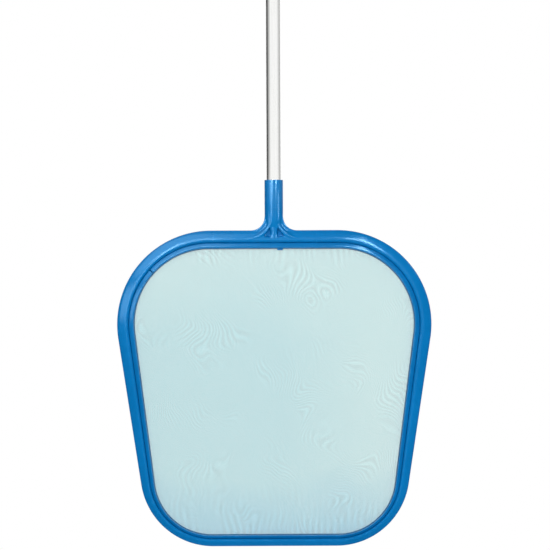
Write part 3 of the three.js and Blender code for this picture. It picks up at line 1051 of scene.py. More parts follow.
@dataclass
class Head:
    """The net's head: the moulded frame with its neck and socket, the snap ring and the net.

    The heights of crests, shoulders, lips and the web are distances forwards from y 0, and so is
    a pocket's depth. A front or a back is a y. The neck's and the socket's own heights are above
    the rim's top line.
    """

    rim_height: float = 420.5 * MM
    rim_top_width: float = 460 * MM
    rim_bottom_width: float = 331 * MM
    rim_top_radius: float = 125 * MM
    rim_bottom_radius: float = 97 * MM
    band_top: float = 24.8 * MM
    band_bottom: float = 15.5 * MM
    band_side_top: float = 26.6 * MM
    band_side_bottom: float = 16.4 * MM
    eye_top_radius: float = 99.5 * MM
    eye_bottom_radius: float = 76.5 * MM
    ridge_share: float = 0.4
    ridge_height: float = 9.45 * MM
    crest_share: float = 0.54
    groove_share: float = 0.66
    crest_height: float = 10 * MM
    shoulder_height: float = 4.4 * MM
    lip_height: float = 9.5 * MM
    lip_roll: float = 7.2 * MM
    wall: float = 2.2 * MM
    ledge_front: float = 0.3 * MM
    ledge_thickness: float = 2.2 * MM
    rib_count: int = 28
    rib_thickness: float = 1.6 * MM
    rib_setback: float = 2.5 * MM
    ring_gap: float = 0.25 * MM
    ring_crest: float = 8.2 * MM
    ring_crest_share: float = 0.91
    ring_shoulder: float = 6.4 * MM
    ring_root: float = 5.7 * MM
    ring_setback: float = 0.7 * MM
    ring_back: float = -1.5 * MM
    ring_ends: tuple[tuple[float, float], ...] = ((0.0, 0.86), (0.12, 0.94), (0.35, 0.985), (0.7, 1.0))
    split_width: float = 1 * MM
    split_angle: float = math.radians(47.5)
    tab_width: float = 8 * MM
    tab_reach: float = 1.7 * MM
    tab_root: float = 2.5 * MM
    tab_thickness: float = 2 * MM
    tab_x: float = 8 * MM
    socket_radius: float = 12.4 * MM
    socket_bore: float = 9.825 * MM
    socket_height: float = 67 * MM
    socket_floor: float = 9 * MM
    neck_fillet: float = 18 * MM
    web_height: float = 5.6 * MM
    gusset_back: float = 2 * MM
    gusset_drop: float = 15.6 * MM
    gusset_half: float = 16 * MM
    slope_start: float = 3 * MM
    slope_front: float = -2 * MM
    rib_radius: float = 4.4 * MM
    rib_stand: float = 0.2 * MM
    rib_rows: tuple[tuple[float, float], ...] = ((-14.0, 0.5), (-11.5, 1.0), (8.0, 1.0), (14.0, 0.8))
    pocket_depth: float = 3.2 * MM
    arm_radius: float = 4 * MM
    arm_reach: float = 41 * MM
    arm_knee: tuple[float, float] = (6 * MM, -10.5 * MM)
    arm_top: tuple[float, float] = (1.2 * MM, 19 * MM)
    neck_top: float = 30 * MM
    seam_step: int = 20
    overrun: int = 6
    voxel: float = 0.65 * MM
    smoothing: int = 3
    seam_blend: tuple[float, float] = (9 * MM, 2 * MM)
    lip_blend: tuple[float, float] = (11.5 * MM, 13.5 * MM)
    sleeve_blend: tuple[float, float] = (3 * MM, 7 * MM)
    overcut: float = 1 * MM
    net_margin: float = 0.08
    net_reach: float = 0.6 * MM
    ripple: float = 0.28 * MM
    witness_x: float = 81.5 * MM
    witness_depth: float = 0.25 * MM
    witness_width: float = 0.7 * MM

    def __post_init__(self) -> None:
        """Works out the places from the frame, and the two outlines."""
        low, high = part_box("net_frame")
        self.line_z = low.z + self.rim_height
        self.back_y = high.y if high.y < self.socket_radius - MM else 9 * MM
        self.steps = Steps()
        halves = (self.rim_top_width / 2, self.rim_bottom_width / 2)
        self.rim = Outline(self.line_z, low.z, *halves, self.rim_top_radius, self.rim_bottom_radius)
        top, bottom = self.line_z - self.band_top, low.z + self.band_bottom
        top_half = self.rim.half_width_at(top) - self.band_side_top
        bottom_half = self.rim.half_width_at(bottom) - self.band_side_bottom
        radii = (self.eye_top_radius, self.eye_bottom_radius)
        self.eye = Outline(top, bottom, top_half, bottom_half, *radii)
        self.band = Band(self.rim.trace(self.steps), self.eye.trace(self.steps))
        self.stations = len(self.band.outer)

    # -- Sections --

    def frame_section(self) -> Section:
        """The frame's section: crown, ledge and the open channel behind."""
        wall, groove, back = self.wall, self.groove_share, self.back_y
        ledge_back = self.ledge_front + self.ledge_thickness
        crest, shoulder, lip = self.crest_height, self.shoulder_height, self.lip_height
        skin = Section.skin(
            [
                (0, 0, 0),
                (0, 0, -shoulder),
                (0, 3 * MM, -shoulder - 2.4 * MM),
                (self.ridge_share, 0, -self.ridge_height),
                (self.crest_share, 0, -crest),
                (groove, -1.7 * MM, -lip),
                (groove, 0, -self.lip_roll),
                (groove, 0, -MM),
            ],
            (0.3, 0.42, 0.25, 0.42, 0.42, 0.3),
        )
        under = Section.skin(
            [
                (0, wall, wall - shoulder),
                (0, 3 * MM + wall, wall - shoulder - 2 * MM),
                (self.crest_share, 0, wall - crest),
                (groove, -wall - MM, wall - lip),
                (groove, -wall, 0),
            ],
            (0.3, 0.3, 0.3),
            4,
        )
        corner = Section.corner
        parts = [
            corner(0, 0, back, 0.6 * MM, OUTWARD, FORWARD),
            skin,
            corner(groove, 0, self.ledge_front, 0.3 * MM, BACK, INWARD, 2),
            corner(1, 0, self.ledge_front, 0.5 * MM, INWARD, BACK),
            corner(1, 0, ledge_back, 0.5 * MM, BACK, OUTWARD),
            corner(groove, 0, ledge_back, 0.4 * MM, OUTWARD, BACK, 2),
            corner(groove, 0, back, 0.6 * MM, BACK, OUTWARD),
            corner(groove, -wall, back, 0.4 * MM, OUTWARD, FORWARD, 3),
            under[::-1],
            corner(0, wall, back, 0.4 * MM, BACK, OUTWARD, 3),
        ]
        return Section.loop(parts)

    def ring_section(self) -> Section:
        """The snap ring's section: a low crown over a flat back."""
        start = (self.groove_share, self.ring_gap)
        end = (1.0, -self.ring_setback)
        skin = Section.skin(
            [
                (*start, -2 * MM),
                (*start, -self.ring_root),
                (start[0], start[1] + 1.1 * MM, -self.ring_shoulder),
                (self.ring_crest_share, 0, -self.ring_crest),
                (end[0], end[1] - 0.2 * MM, -self.ring_shoulder),
                (*end, -2 * MM),
            ],
            (0.35, 0.42, 0.4, 0.3),
        )
        home = Section.corner(*start, self.ring_back, 0.3 * MM, OUTWARD, FORWARD, 3)
        away = Section.corner(*end, self.ring_back, 0.3 * MM, BACK, OUTWARD, 3)
        return Section.loop([home, skin, away])

    # -- Frame --

    def station_at(self, side: Side, x: float) -> float:
        """The station number at an x on the top line."""
        number = x / self.rim.top_centre[0] * self.steps.top_line
        return number if side is Side.RIGHT else self.stations - number

    def rim_grid(self, section: Section) -> Array:
        """The rim from the neck's right seam round to its left seam, with its witness line.

        The line is a shallow groove: the front skin is set back by a bell of its distance.
        """
        places = np.arange(self.seam_step, self.stations - self.seam_step + 1, dtype=float)
        finer = self.station_at(Side.LEFT, self.witness_x) + np.linspace(-0.5, 0.5, 17)
        grid = self.band.sweep(np.unique(np.concatenate([places, finer])), section)
        near_top = grid[..., 2] > self.line_z - self.band_top
        groove = self.witness_depth * bell(grid[..., 0] + self.witness_x, self.witness_width) * near_top
        grid[..., 1] += groove * (section.depth < -self.shoulder_height)
        return grid

    def channel_ribs(self, near_neck: bool) -> Shell:
        """The ribs across the channel behind the rim, as thin plates with eased back edges.

        Args:
            near_neck: Whether the ribs of the neck's stretch are wanted, or the others.

        Returns:
            The ribs' shell.
        """
        length = np.linalg.norm(np.roll(self.band.outer, -1, axis=0) - self.band.outer, axis=1)
        run = np.concatenate([[0], np.cumsum(length)])
        along = (np.arange(self.rib_count) + 0.5) / self.rib_count * run[-1]
        places = np.interp(along, run, np.arange(self.stations + 1))
        in_neck = (places < self.seam_step) | (places > self.stations - self.seam_step)
        front, back = -self.shoulder_height, self.back_y - self.rib_setback
        eased = self.rib_thickness * 0.3
        edges = ((front, 1.0), (back - eased, 1.0), (back - eased * 0.3, 0.72), (back, 0.35))
        shell = Shell()
        for one, two in zip(*self.band.at(places[in_neck == near_neck])):
            width = np.linalg.norm(two - one)
            across = (two - one) / width
            near, far = self.wall / 2, width * self.groove_share - self.wall / 2
            side = np.array([-across[1], across[0]]) * self.rib_thickness / 2
            rows = []
            for depth, thick in edges:
                corners = ((near, thick), (far, thick), (far, -thick), (near, -thick))
                flat = [one + across * end + side * half for end, half in corners]
                rows.append([(x, depth, z) for x, z in flat])
            shell.tube(np.array(rows))
        return shell

    def plate(self, outline: Array, front: float, back: float) -> Shell:
        """A flat plate of an outline in the front view."""
        rows = [stacked(outline[:, 0], depth, outline[:, 1]) for depth in (front, back)]
        return Shell().tube(np.array(rows))

    def web_outline(self, inset: float) -> Array:
        """The web between rim and socket, drawn in by an inset from its two fillets."""
        half = self.socket_radius - inset
        fillet = self.neck_fillet + inset
        reach = half + fillet
        foot = inset - self.wall / 2
        rise = math.asin(min(1.0, (self.neck_fillet - foot) / fillet))
        foot_half = reach - fillet * math.cos(rise)
        angle = np.linspace(rise - math.pi, -math.pi, 25)
        arc = stacked(reach + fillet * np.cos(angle), self.neck_fillet + fillet * np.sin(angle))
        right = np.concatenate([[[foot_half, foot]], arc[1:]])
        left = right[::-1] * [-1, 1]
        return np.concatenate([right, left]) + [0, self.line_z]

    def arm(self, side: Side) -> Shell:
        """An arm's ridge: a round bar that bends from the rim's crest up into the socket.

        The path is a quadratic curve. The bar is cut flat inside the web, where its y is held.
        """
        crest_z = self.line_z - self.band_top * self.crest_share
        start = np.array([self.arm_reach, crest_z])
        corner = np.array([0, self.line_z]) + self.arm_knee
        end = np.array([0, self.line_z]) + self.arm_top
        path = curve(start, corner, end, 48)
        t = np.linspace(0, 1, 49)[:, None]
        way = 2 * (1 - t) * (corner - start) + 2 * t * (end - corner)
        way /= np.linalg.norm(way, axis=1, keepdims=True)
        across = stacked(way[:, 1], -way[:, 0])
        angle = around(40)
        flat = path[:, None] + across[:, None] * (self.arm_radius * np.cos(angle))[None, :, None]
        hold = self.wall / 2 - self.web_height
        depth = np.minimum(self.arm_radius - self.crest_height + self.arm_radius * np.sin(angle), hold)
        return Shell().tube(stacked(flat[..., 0] * side.value, depth, flat[..., 1]))

    def socket_solid(self, top: float) -> Shell:
        """The socket's body up to a height above the rim, which narrows to a centre rib below."""
        line, nose = self.line_z, self.line_z - self.band_top * self.groove_share + self.wall
        corners = [
            (self.rib_radius, nose, 0),
            (self.rib_radius + 0.2 * MM, line - 5 * MM, 3 * MM),
            (self.socket_radius - 1.2 * MM, line + 7 * MM, 5 * MM),
            (self.socket_radius, line + self.neck_fillet, 4 * MM),
            (self.socket_radius, line + top, 0),
        ]
        return turned(corners, False, 128, 8)

    def centre_rib(self) -> Shell:
        """The rib between the arms: a round bar down the middle, from the socket to the rim's crest.

        Each row has a height in millimetres from the rim's line and a share of the rib's radius.
        The axis lies so that the rib's front is just behind the crest's.
        """
        angle = around(48)
        heights, shares = np.array(self.rib_rows).T[..., None]
        sizes = shares * self.rib_radius
        x = sizes * np.cos(angle)
        y = self.rib_radius - self.crest_height + self.rib_stand + sizes * np.sin(angle)
        return Shell().tube(stacked(x, y, self.line_z + heights * MM))

    def gusset(self) -> Shell:
        """The solid web behind the pockets, which closes the channel under the socket."""
        low, high, half = self.line_z - self.gusset_drop, self.line_z + MM, self.gusset_half
        outline = np.array([(-half, low), (half, low), (half, high), (-half, high)])
        return self.plate(outline, -self.web_height, self.gusset_back)

    def web_slope(self) -> Shell:
        """The cutter that slopes the web's back edges forwards, to where they leave the socket."""
        foot, top = self.line_z + self.slope_start, self.line_z + self.neck_fillet + self.slope_start
        behind = self.back_y + self.overcut
        corners = [(behind, foot), (behind, top), (self.slope_front, top)]
        rows = [[(x, y, z) for y, z in corners] for x in (-self.arm_reach, self.arm_reach)]
        return Shell().tube(np.array(rows))

    def pocket(self, side: Side) -> Shell:
        """The cutter of the pocket between the rib and an arm.

        The triangle's corners are rounded, and it narrows with depth as a mould's core does.
        """
        corners = [(4.5 * MM, 5 * MM, 0.6 * MM), (4.5 * MM, -10 * MM, 0.8 * MM), (14 * MM, -7.8 * MM, MM)]
        outline = softened(corners, closed=True, steps=5) * [side.value, 1] + [0, self.line_z]
        middle = outline.mean(0)
        rows = []
        for depth, size in ((-12 * MM, 1.05), (-self.crest_height, 1.0), (-self.pocket_depth, 0.84)):
            x, z = (middle + (outline - middle) * size).T
            rows.append(stacked(x, depth, z))
        return Shell().tube(np.array(rows))

    def socket_sleeve(self) -> Shell:
        """The socket's open upper stretch, with an eased mouth."""
        low, high = self.line_z + self.neck_top, self.line_z + self.socket_height
        outer, bore, ease = self.socket_radius, self.socket_bore, 0.5 * MM
        corners = [(outer, low, 0), (outer, high, ease), (bore, high, ease), (bore, low, 0)]
        return turned(corners, True, 128)

    def bore_cutter(self) -> Shell:
        """The solid that opens the socket's bore through the neck."""
        low, high = self.line_z + self.socket_floor, self.line_z + self.neck_top + 5 * MM
        bore = self.socket_bore
        return turned([(bore * 0.6, low, 0), (bore, low, MM), (bore, high, 0)], False, 128)

    def neck(self, section: Section) -> Mesh:
        """The neck: rim, web, arms and socket run together, as a mould blends them.

        The closed solids are remeshed as one and smoothed. Near the seams each point is then put
        back on the rim's exact section, and near the socket's sleeve on its exact radius.

        Args:
            section: The rim's section.

        Returns:
            The neck's closed mesh between its seams.
        """
        reach = self.seam_step + self.overrun
        stretch = Shell().tube(self.band.sweep(np.linspace(-reach, reach, 2 * reach + 1), section))
        web = self.plate(self.web_outline(0), -self.web_height, self.back_y).mesh()
        inside, behind = self.web_outline(self.wall), self.back_y + self.overcut
        web = combined(web, self.plate(inside, self.wall - self.web_height, behind), "DIFFERENCE")
        web = combined(web, self.web_slope(), "DIFFERENCE")
        floor = self.plate(self.web_outline(self.wall / 2), -self.web_height, self.gusset_back)
        solids = [floor, stretch, self.channel_ribs(True), self.arm(Side.RIGHT), self.arm(Side.LEFT)]
        solids += [self.socket_solid(self.neck_top + 4 * MM), self.centre_rib(), self.gusset()]
        meshes = [solid.mesh() for solid in solids] + [web]
        solid = self.remeshed(joined_mesh(meshes), 2)
        for side in Side:
            solid = combined(solid, self.pocket(side), "DIFFERENCE")
        blended = self.remeshed(solid, self.smoothing)
        self.settle(blended, section)
        self.trim(blended)
        return combined(blended, self.bore_cutter(), "DIFFERENCE")

    def remeshed(self, mesh: Mesh, smoothing: int) -> Mesh:
        """Runs closed solids together in one even skin and smooths it.

        Args:
            mesh: The solids, which may overlap.
            smoothing: How many times each point moves halfway to its neighbours' mean.

        Returns:
            The new mesh.
        """
        rough = loose_object("rough", mesh)
        remesh = rough.modifiers.new("remesh", "REMESH")
        remesh.mode = "VOXEL"
        remesh.voxel_size = self.voxel
        remesh.adaptivity = 0
        smooth = rough.modifiers.new("smooth", "SMOOTH")
        smooth.factor = 0.5
        smooth.iterations = smoothing
        made = evaluated(rough)
        bpy.data.objects.remove(rough)
        return made

    def settle(self, mesh: Mesh, section: Section) -> None:
        """Puts the points near the seams and near the sleeve back on their exact surfaces.

        Args:
            mesh: The blended neck.
            section: The rim's section.
        """
        place = numbers(mesh.vertices, "co", kind=np.float64)
        seam_x = self.band.at(np.array([float(self.seam_step)]))[0][0, 0]
        seam = ramp(np.abs(place[:, 0]), *(seam_x - distance for distance in self.seam_blend))
        lip = ramp(self.line_z - place[:, 2], *self.lip_blend) * (place[:, 1] < -MM)
        pull = np.maximum(seam, lip)
        chosen = np.flatnonzero((pull > 0) & (place[:, 2] < self.line_z + MM))
        row = self.band.sweep(np.array([0.0]), section)[0][:, 1:]
        free = place[chosen, 1:]
        place[chosen, 1:] = free + pull[chosen, None] * (nearest_on_loop(free, row) - free)
        radius = np.hypot(place[:, 0], place[:, 1])
        lift = ramp(place[:, 2], *(self.line_z + self.neck_fillet + rise for rise in self.sleeve_blend))
        high = np.flatnonzero((lift > 0) & (radius > self.socket_bore))
        scale = 1 + lift[high] * (self.socket_radius / radius[high] - 1)
        place[high, :2] *= scale[:, None]
        mesh.vertices.foreach_set("co", place.ravel())
        mesh.update()

    def trim(self, mesh: Mesh) -> None:
        """Cuts the blended neck flush at its seams and under the sleeve, and closes the cuts."""
        outer, inner = self.band.at(np.array([float(self.seam_step)]))
        lean = inner[0] - outer[0]
        work = bmesh.new()
        work.from_mesh(mesh)
        for side in Side:
            at = (outer[0, 0] * side.value, 0, outer[0, 1])
            normal = (-lean[1] * side.value, 0, lean[0])
            self.cut(work, at, normal)
        self.cut(work, (0, 0, self.line_z + self.neck_top), (0, 0, 1))
        work.to_mesh(mesh)
        work.free()

    @staticmethod
    def cut(work: bmesh.types.BMesh, at: Sequence[float], normal: Sequence[float]) -> None:
        """Takes away what lies past a plane and closes the cut with flat faces."""
        everything = [*work.verts, *work.edges, *work.faces]
        result = bmesh.ops.bisect_plane(
            work, geom=everything, plane_co=at, plane_no=normal, clear_outer=True, dist=1e-7
        )
        edges = [item for item in result["geom_cut"] if isinstance(item, bmesh.types.BMEdge)]
        bmesh.ops.triangle_fill(work, use_beauty=True, edges=edges)

    def build_frame(self, material: Material) -> Object:
        """Builds the moulded frame: rim, channel ribs, neck and socket."""
        section = self.frame_section()
        rim = Shell().tube(self.rim_grid(section)).mesh()
        ribs = self.channel_ribs(False).mesh()
        sleeve = self.socket_sleeve().mesh()
        mesh = joined_mesh([rim, ribs, self.neck(section), sleeve])
        return dressed("rim_and_neck", mesh, Seat(Body.HEAD, Slot.FRAME, "net_frame"), material)

    # -- Ring and net --

    def build_ring(self, material: Material) -> Object:
        """Builds the split snap ring with its pry tab.

        Towards each end the section shrinks: ring_ends holds millimetres from the end and sizes.
        """
        turn = math.pi / 2 + self.eye.lean
        split = self.stations - (self.steps.top_line + self.steps.top_corner * self.split_angle / turn)
        spacing = self.eye.top_radius * turn / self.steps.top_corner
        half = self.split_width / 2 / spacing
        first, last = split - self.stations + half, split - half
        whole = np.arange(math.ceil(first), math.floor(last) + 1, dtype=float)
        ease, size = np.array(self.ring_ends).T
        ease = ease * MM / spacing
        inside = whole[(whole > first + ease[-1]) & (whole < last - ease[-1])]
        places = np.concatenate([first + ease, inside, (last - ease)[::-1]])
        grid = self.band.sweep(places, self.ring_section())
        shrink = np.concatenate([size, np.ones(len(inside)), size[::-1]])
        middle = grid.mean(axis=1, keepdims=True)
        middle[..., 1] = self.ring_back
        grid = middle + (grid - middle) * shrink[:, None, None]
        mesh = combined(Shell().tube(grid).mesh(), self.pry_tab(), "UNION")
        return dressed("snap_ring", mesh, Seat(Body.HEAD, Slot.RING, "retaining_ring"), material)

    def pry_tab(self) -> Shell:
        """The little tab that reaches past the ring's inner edge, with round edges.

        Its front outline is a superellipse of power 6, and its edge is eased over the thickness.
        """
        angle = around(48)
        power = 2 / 6
        x, z = (np.sign(wave) * np.abs(wave) ** power for wave in (np.cos(angle), np.sin(angle)))
        half_x, half_z = self.tab_width / 2, (self.tab_root + self.tab_reach) / 2
        centre_z = self.eye.top + (self.tab_root - self.tab_reach) / 2
        rows = []
        for depth, size in ((0.0, 0.94), (0.12, 1.0), (0.8, 1.0), (0.95, 0.97), (1.0, 0.9)):
            y = self.ring_back - self.tab_thickness * depth
            rows.append(stacked(self.tab_x + x * half_x * size, y, centre_z + z * half_z * size))
        return Shell().tube(np.array(rows))

    def build_net(self, material: Material) -> Object:
        """Builds the net: one sheet from its middle to the edge that the ring holds, with slight ripples.

        The point at (i, j) is the middle plus a share of the way to the clamped edge at station j.
        Its y is the net's plane plus three crossing waves, which die out towards the edge.
        """
        stations = np.arange(0, self.stations, 2)
        outer, inner = self.band.at(stations.astype(float))
        across = inner - outer
        width = np.linalg.norm(across, axis=1, keepdims=True)
        edge = outer + across * (self.groove_share + self.net_margin)
        shifts = (-self.ring_setback, 0, self.net_reach)
        rows = [edge] + [outer + across * (1 + shift / width) for shift in shifts]
        middle = np.array([0, (self.eye.top + self.eye.bottom) / 2])
        share = np.linspace(1, 0.02, 72)[1:, None, None]
        flat = np.concatenate([rows, middle + (rows[-1] - middle) * share])
        x, z = flat[..., 0], flat[..., 1] - middle[1]
        low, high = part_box("net_mesh")
        loose = 1 - ramp(np.concatenate([np.ones(len(rows)), share[:, 0, 0]]), 0.72, 0.9)[:, None]
        waves = np.sin(61 * x + 17 * z) + np.sin(-38 * x + 74 * z + 1.3) + np.sin(23 * x + 108 * z + 0.4)
        depth = (low.y + high.y) / 2 + self.ripple * waves * loose
        sheet = Shell().grid(stacked(x, depth, flat[..., 1]))
        sheet.faces.append(tuple(range(sheet.count - len(stations), sheet.count)))
        mesh = bpy.data.meshes.new("net")
        mesh.from_pydata(np.concatenate(sheet.points), [], sheet.faces)
        if mesh.polygons[0].normal.y > 0:
            mesh.flip_normals()
        # Painted shadow: the rows under the ring, out to its inner edge, are marked for the ring's shadow
        # colour.
        ring_shadow = np.zeros(flat.shape[:2])
        ring_shadow[:3] = 1
        mark(mesh, RING_SHADOW_ATTRIBUTE, ring_shadow)
        piece = dressed("net_sheet", mesh, Seat(Body.HEAD, Slot.NET, "net_mesh"), material)
        return piece


def nearest_on_loop(points: Array, loop: Array) -> Array:
    """The nearest point of a closed polyline to each of several points in a plane.

    For each side the foot of the perpendicular is held between the side's ends, and the nearest
    foot of all sides is taken.

    Args:
        points: The points, shaped (n, 2).
        loop: The polyline's corners, shaped (m, 2).

    Returns:
        The nearest points, shaped (n, 2).
    """
    side = np.roll(loop, -1, axis=0) - loop
    length = np.maximum((side**2).sum(1), 1e-18)
    share = np.clip(((points[:, None] - loop) * side).sum(2) / length, 0, 1)
    foot = loop + side * share[..., None]
    best = ((points[:, None] - foot) ** 2).sum(2).argmin(1)
    return foot[np.arange(len(points)), best]


# ---- Pole, twist lock and handle ----


OUTER_WALL = 1.2 * MM
FIT_GAP = 0.3 * MM
RIVET_HOLE = 1.9 * MM


@dataclass
class Pole:
    """The two tubes with the plug and the bush on the inner one."""

    inner_wall: float = 1 * MM
    tip_flange: float = 2 * MM
    bush_flange: float = 7 * MM
    bush_grooves: tuple[float, float] = (0.36, 0.68)
    moulded_wall: float = 2.2 * MM

    def tube(self, node: str, wall: float) -> Shell:
        """A tube that fills a node's box, with eased ends."""
        low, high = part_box(node)
        radius, ease = high.x, 0.3 * MM
        places = ((radius, low.z), (radius, high.z), (radius - wall, high.z), (radius - wall, low.z))
        return turned([(*place, ease) for place in places], True, 128)

    def build_inner(self, material: Material) -> Object:
        """Builds the inner tube, which the socket holds."""
        mesh = self.tube("inner_pole", self.inner_wall).mesh()
        return dressed("inner_tube", mesh, Seat(Body.POLE, Slot.ALUMINIUM, "inner_pole"), material)

    def build_outer(self, material: Material) -> Object:
        """Builds the outer tube, drilled for the lock's rivets."""
        mesh = drilled(self.tube("outer_pole", OUTER_WALL).mesh())
        return dressed("outer_tube", mesh, Seat(Body.HANDLE, Slot.ALUMINIUM, "outer_pole"), material)

    def build_tip(self, material: Material) -> Object:
        """Builds the cup-shaped plug in the inner tube's lower end."""
        low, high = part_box("pole_tip")
        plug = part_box("inner_pole")[1].x - self.inner_wall - FIT_GAP
        face = low.z + self.tip_flange
        corners = [
            (high.x * 0.5, low.z, 0),
            (high.x, low.z, 0.6 * MM),
            (high.x, face, 0.2 * MM),
            (plug, face, 0.2 * MM),
            (plug, high.z, 0.4 * MM),
            (plug - self.moulded_wall, high.z, 0.4 * MM),
            (plug - self.moulded_wall, face, 0.6 * MM),
            (MM, face, 0),
        ]
        mesh = turned(corners, False, 72).mesh()
        return dressed("tube_plug", mesh, Seat(Body.POLE, Slot.DARK, "pole_tip"), material)

    def build_bush(self, material: Material) -> Object:
        """Builds the slide bush, whose flange has two shallow oil grooves."""
        low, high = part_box("guide_bush")
        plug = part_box("inner_pole")[1].x - self.inner_wall - FIT_GAP
        face = high.z - self.bush_flange
        inner = plug - self.moulded_wall
        outer, half, sink = high.x, 0.6 * MM, 0.4 * MM
        corners = [(plug, low.z, 0.4 * MM), (plug, face, 0.2 * MM), (outer, face, 0.4 * MM)]
        for share in self.bush_grooves:
            at = face + self.bush_flange * share
            corners += [(outer, at - half, 0), (outer - sink, at, 0.2 * MM), (outer, at + half, 0)]
        corners += [(outer, high.z, 0.4 * MM), (inner, high.z, 0.4 * MM), (inner, low.z, 0.4 * MM)]
        mesh = turned(corners, True).mesh()
        return dressed("slide_bush", mesh, Seat(Body.BUSH, Slot.WHITE, "guide_bush"), material)


def drilled(mesh: Mesh) -> Mesh:
    """Drills a closed mesh for the rivets, along X through its wall on either side."""
    low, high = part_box("lock_rivet_right")
    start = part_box("inner_pole")[1].x
    grid = spun(np.array([(RIVET_HOLE, start), (RIVET_HOLE, 2 * start)]), 32)
    cutter = Shell()
    for side in Side:
        cutter.tube(lying(grid, side, (low.z + high.z) / 2))
    return combined(mesh, cutter, "DIFFERENCE")


@dataclass
class TwistLock:
    """The outside twist lock: sleeve, collet, nut and two rivets."""

    nut_ribs: int = 18
    nut_rib_depth: float = 1.2 * MM
    nut_lip: float = 3 * MM
    flute_power: float = 1.6
    mouth: float = 0.4 * MM
    collet_wall: float = 1.3 * MM
    collet_slit: float = 2 * MM
    thread_radius: float = 14.5 * MM
    thread_pitch: float = 2.5 * MM
    thread_depth: float = 0.5 * MM
    tube_stop: float = 3 * MM
    collar_length: float = 17 * MM
    rivet_shank: float = 1.6 * MM
    rivet_head_height: float = 1.3 * MM

    def __post_init__(self) -> None:
        """Reads the tubes' radii from the frame."""
        self.pole_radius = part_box("inner_pole")[1].x
        self.tube_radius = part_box("outer_pole")[1].x

    def build_sleeve(self, material: Material) -> Object:
        """Builds the threaded sleeve that the rivets hold on the outer tube.

        The thread is a ridge that climbs one pitch a turn: the radius falls from its crest by a
        share of the depth that is the distance to the ridge's middle in pitches, times two.
        """
        low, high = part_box("lock_body")
        collar = high.z - self.collar_length
        bore, stop = self.tube_radius + FIT_GAP, self.pole_radius + self.mouth
        chamfer = (high.x - bore) / 2
        rows = int((collar - low.z) / self.thread_pitch * 10)
        heights = np.linspace(low.z + 0.4 * MM, collar - 0.6 * MM, rows)
        thread = stacked(self.thread_radius, heights)
        upper = softened(
            [
                (self.thread_radius - self.thread_depth, collar - 0.3 * MM, 0),
                (self.thread_radius, collar, 0),
                (high.x, collar, 0.4 * MM),
                (high.x, high.z - chamfer, 0.6 * MM),
                (high.x - chamfer, high.z, 0.4 * MM),
                (bore, high.z, 0.3 * MM),
                (bore, low.z + self.tube_stop, 0.3 * MM),
                (stop, low.z + self.tube_stop, 0.3 * MM),
                (stop, low.z, 0.3 * MM),
                (self.thread_radius - 0.6 * MM, low.z, 0.3 * MM),
            ],
            closed=False,
        )
        grid = spun(np.concatenate([thread, upper]), 96)
        turn = np.linspace(0, 1, 96, endpoint=False)
        phase = (heights[:, None] / self.thread_pitch - turn) % 1
        radius = self.thread_radius - self.thread_depth * np.abs(2 * phase - 1)
        grid[:rows, :, :2] *= (radius / self.thread_radius)[..., None]
        mesh = drilled(Shell().grid(grid, wrap_rows=True).mesh())
        return dressed("lock_sleeve", mesh, Seat(Body.HANDLE, Slot.DARK, "lock_body"), material)

    def build_collet(self, material: Material) -> Object:
        """Builds the split collet, a ring section carried from one side of its slit to the other."""
        low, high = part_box("lock_collet")
        bore = self.pole_radius + FIT_GAP
        outer = bore + self.collet_wall
        half = math.asin(self.collet_slit / 2 / outer)
        angle = np.linspace(math.pi / 2 + half, math.pi / 2 - half + 2 * math.pi, 97)
        ease = 0.3 * MM
        corners = [(outer, low.z, 2 * ease), (outer, high.z, ease), (bore, high.z, ease), (bore, low.z, ease)]
        profile = softened(corners, closed=True, steps=3)
        radius, height = profile.T
        grid = stacked(np.outer(np.cos(angle), radius), np.outer(np.sin(angle), radius), height)
        mesh = Shell().tube(grid).mesh()
        return dressed("split_collet", mesh, Seat(Body.HANDLE, Slot.WHITE, "lock_collet"), material)

    def build_nut(self, material: Material) -> Object:
        """Builds the twist nut.

        Outside, the radius is the profile's less the rib depth times a flute: the square of the
        cosine of half the rib angle, to a power that widens the ribs. The flutes fade out over
        the nut's two round ends.
        """
        low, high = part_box("lock_nut")
        radius = high.x
        taper = radius - self.nut_rib_depth
        bore = self.pole_radius + self.mouth
        collet = self.pole_radius + FIT_GAP + self.collet_wall + FIT_GAP
        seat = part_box("lock_body")[0].z - FIT_GAP
        cavity = self.thread_radius + FIT_GAP
        ease = 0.4 * MM
        outside = softened(
            [
                (bore + 0.4 * MM, low.z, 0),
                (taper - self.nut_lip / 2, low.z, 0.8 * MM),
                (radius, low.z + self.nut_lip, 1.4 * MM),
                (radius, high.z - self.nut_lip / 2, 1.0 * MM),
                (taper, high.z, 0.5 * MM),
                (cavity + 0.4 * MM, high.z, 0),
            ],
            closed=False,
            steps=6,
        )
        heights = np.linspace(low.z + self.nut_lip + 1.5 * MM, high.z - self.nut_lip / 2 - 1.1 * MM, 14)
        straight = stacked(radius, heights)
        split = int(np.searchsorted(outside[:, 1], heights[0]))
        outside = np.concatenate([outside[:split], straight, outside[split:]])
        inside = softened(
            [
                (cavity, high.z, 0),
                (cavity, seat, ease),
                (collet, seat, ease),
                (collet, low.z + self.nut_lip, ease),
                (bore, low.z + self.nut_lip, ease),
                (bore, low.z, 0),
            ],
            closed=False,
        )
        profile = np.concatenate([outside, inside])
        sides = self.nut_ribs * 16
        grid = spun(profile, sides)
        angle = around(sides)
        flute = (np.cos(angle * self.nut_ribs / 2) ** 2) ** self.flute_power
        body = ramp(outside[:, 1], low.z + 0.5 * MM, low.z + self.nut_lip + 2 * MM)
        body = body * (1 - ramp(outside[:, 1], high.z - 3 * MM, high.z - 0.4 * MM))
        sunk = 1 - self.nut_rib_depth * body[:, None] * flute / outside[:, :1]
        grid[: len(outside), :, :2] *= sunk[..., None]
        mesh = Shell().grid(grid, wrap_rows=True).mesh()
        return dressed("twist_nut", mesh, Seat(Body.NUT, Slot.FRAME, "lock_nut"), material)

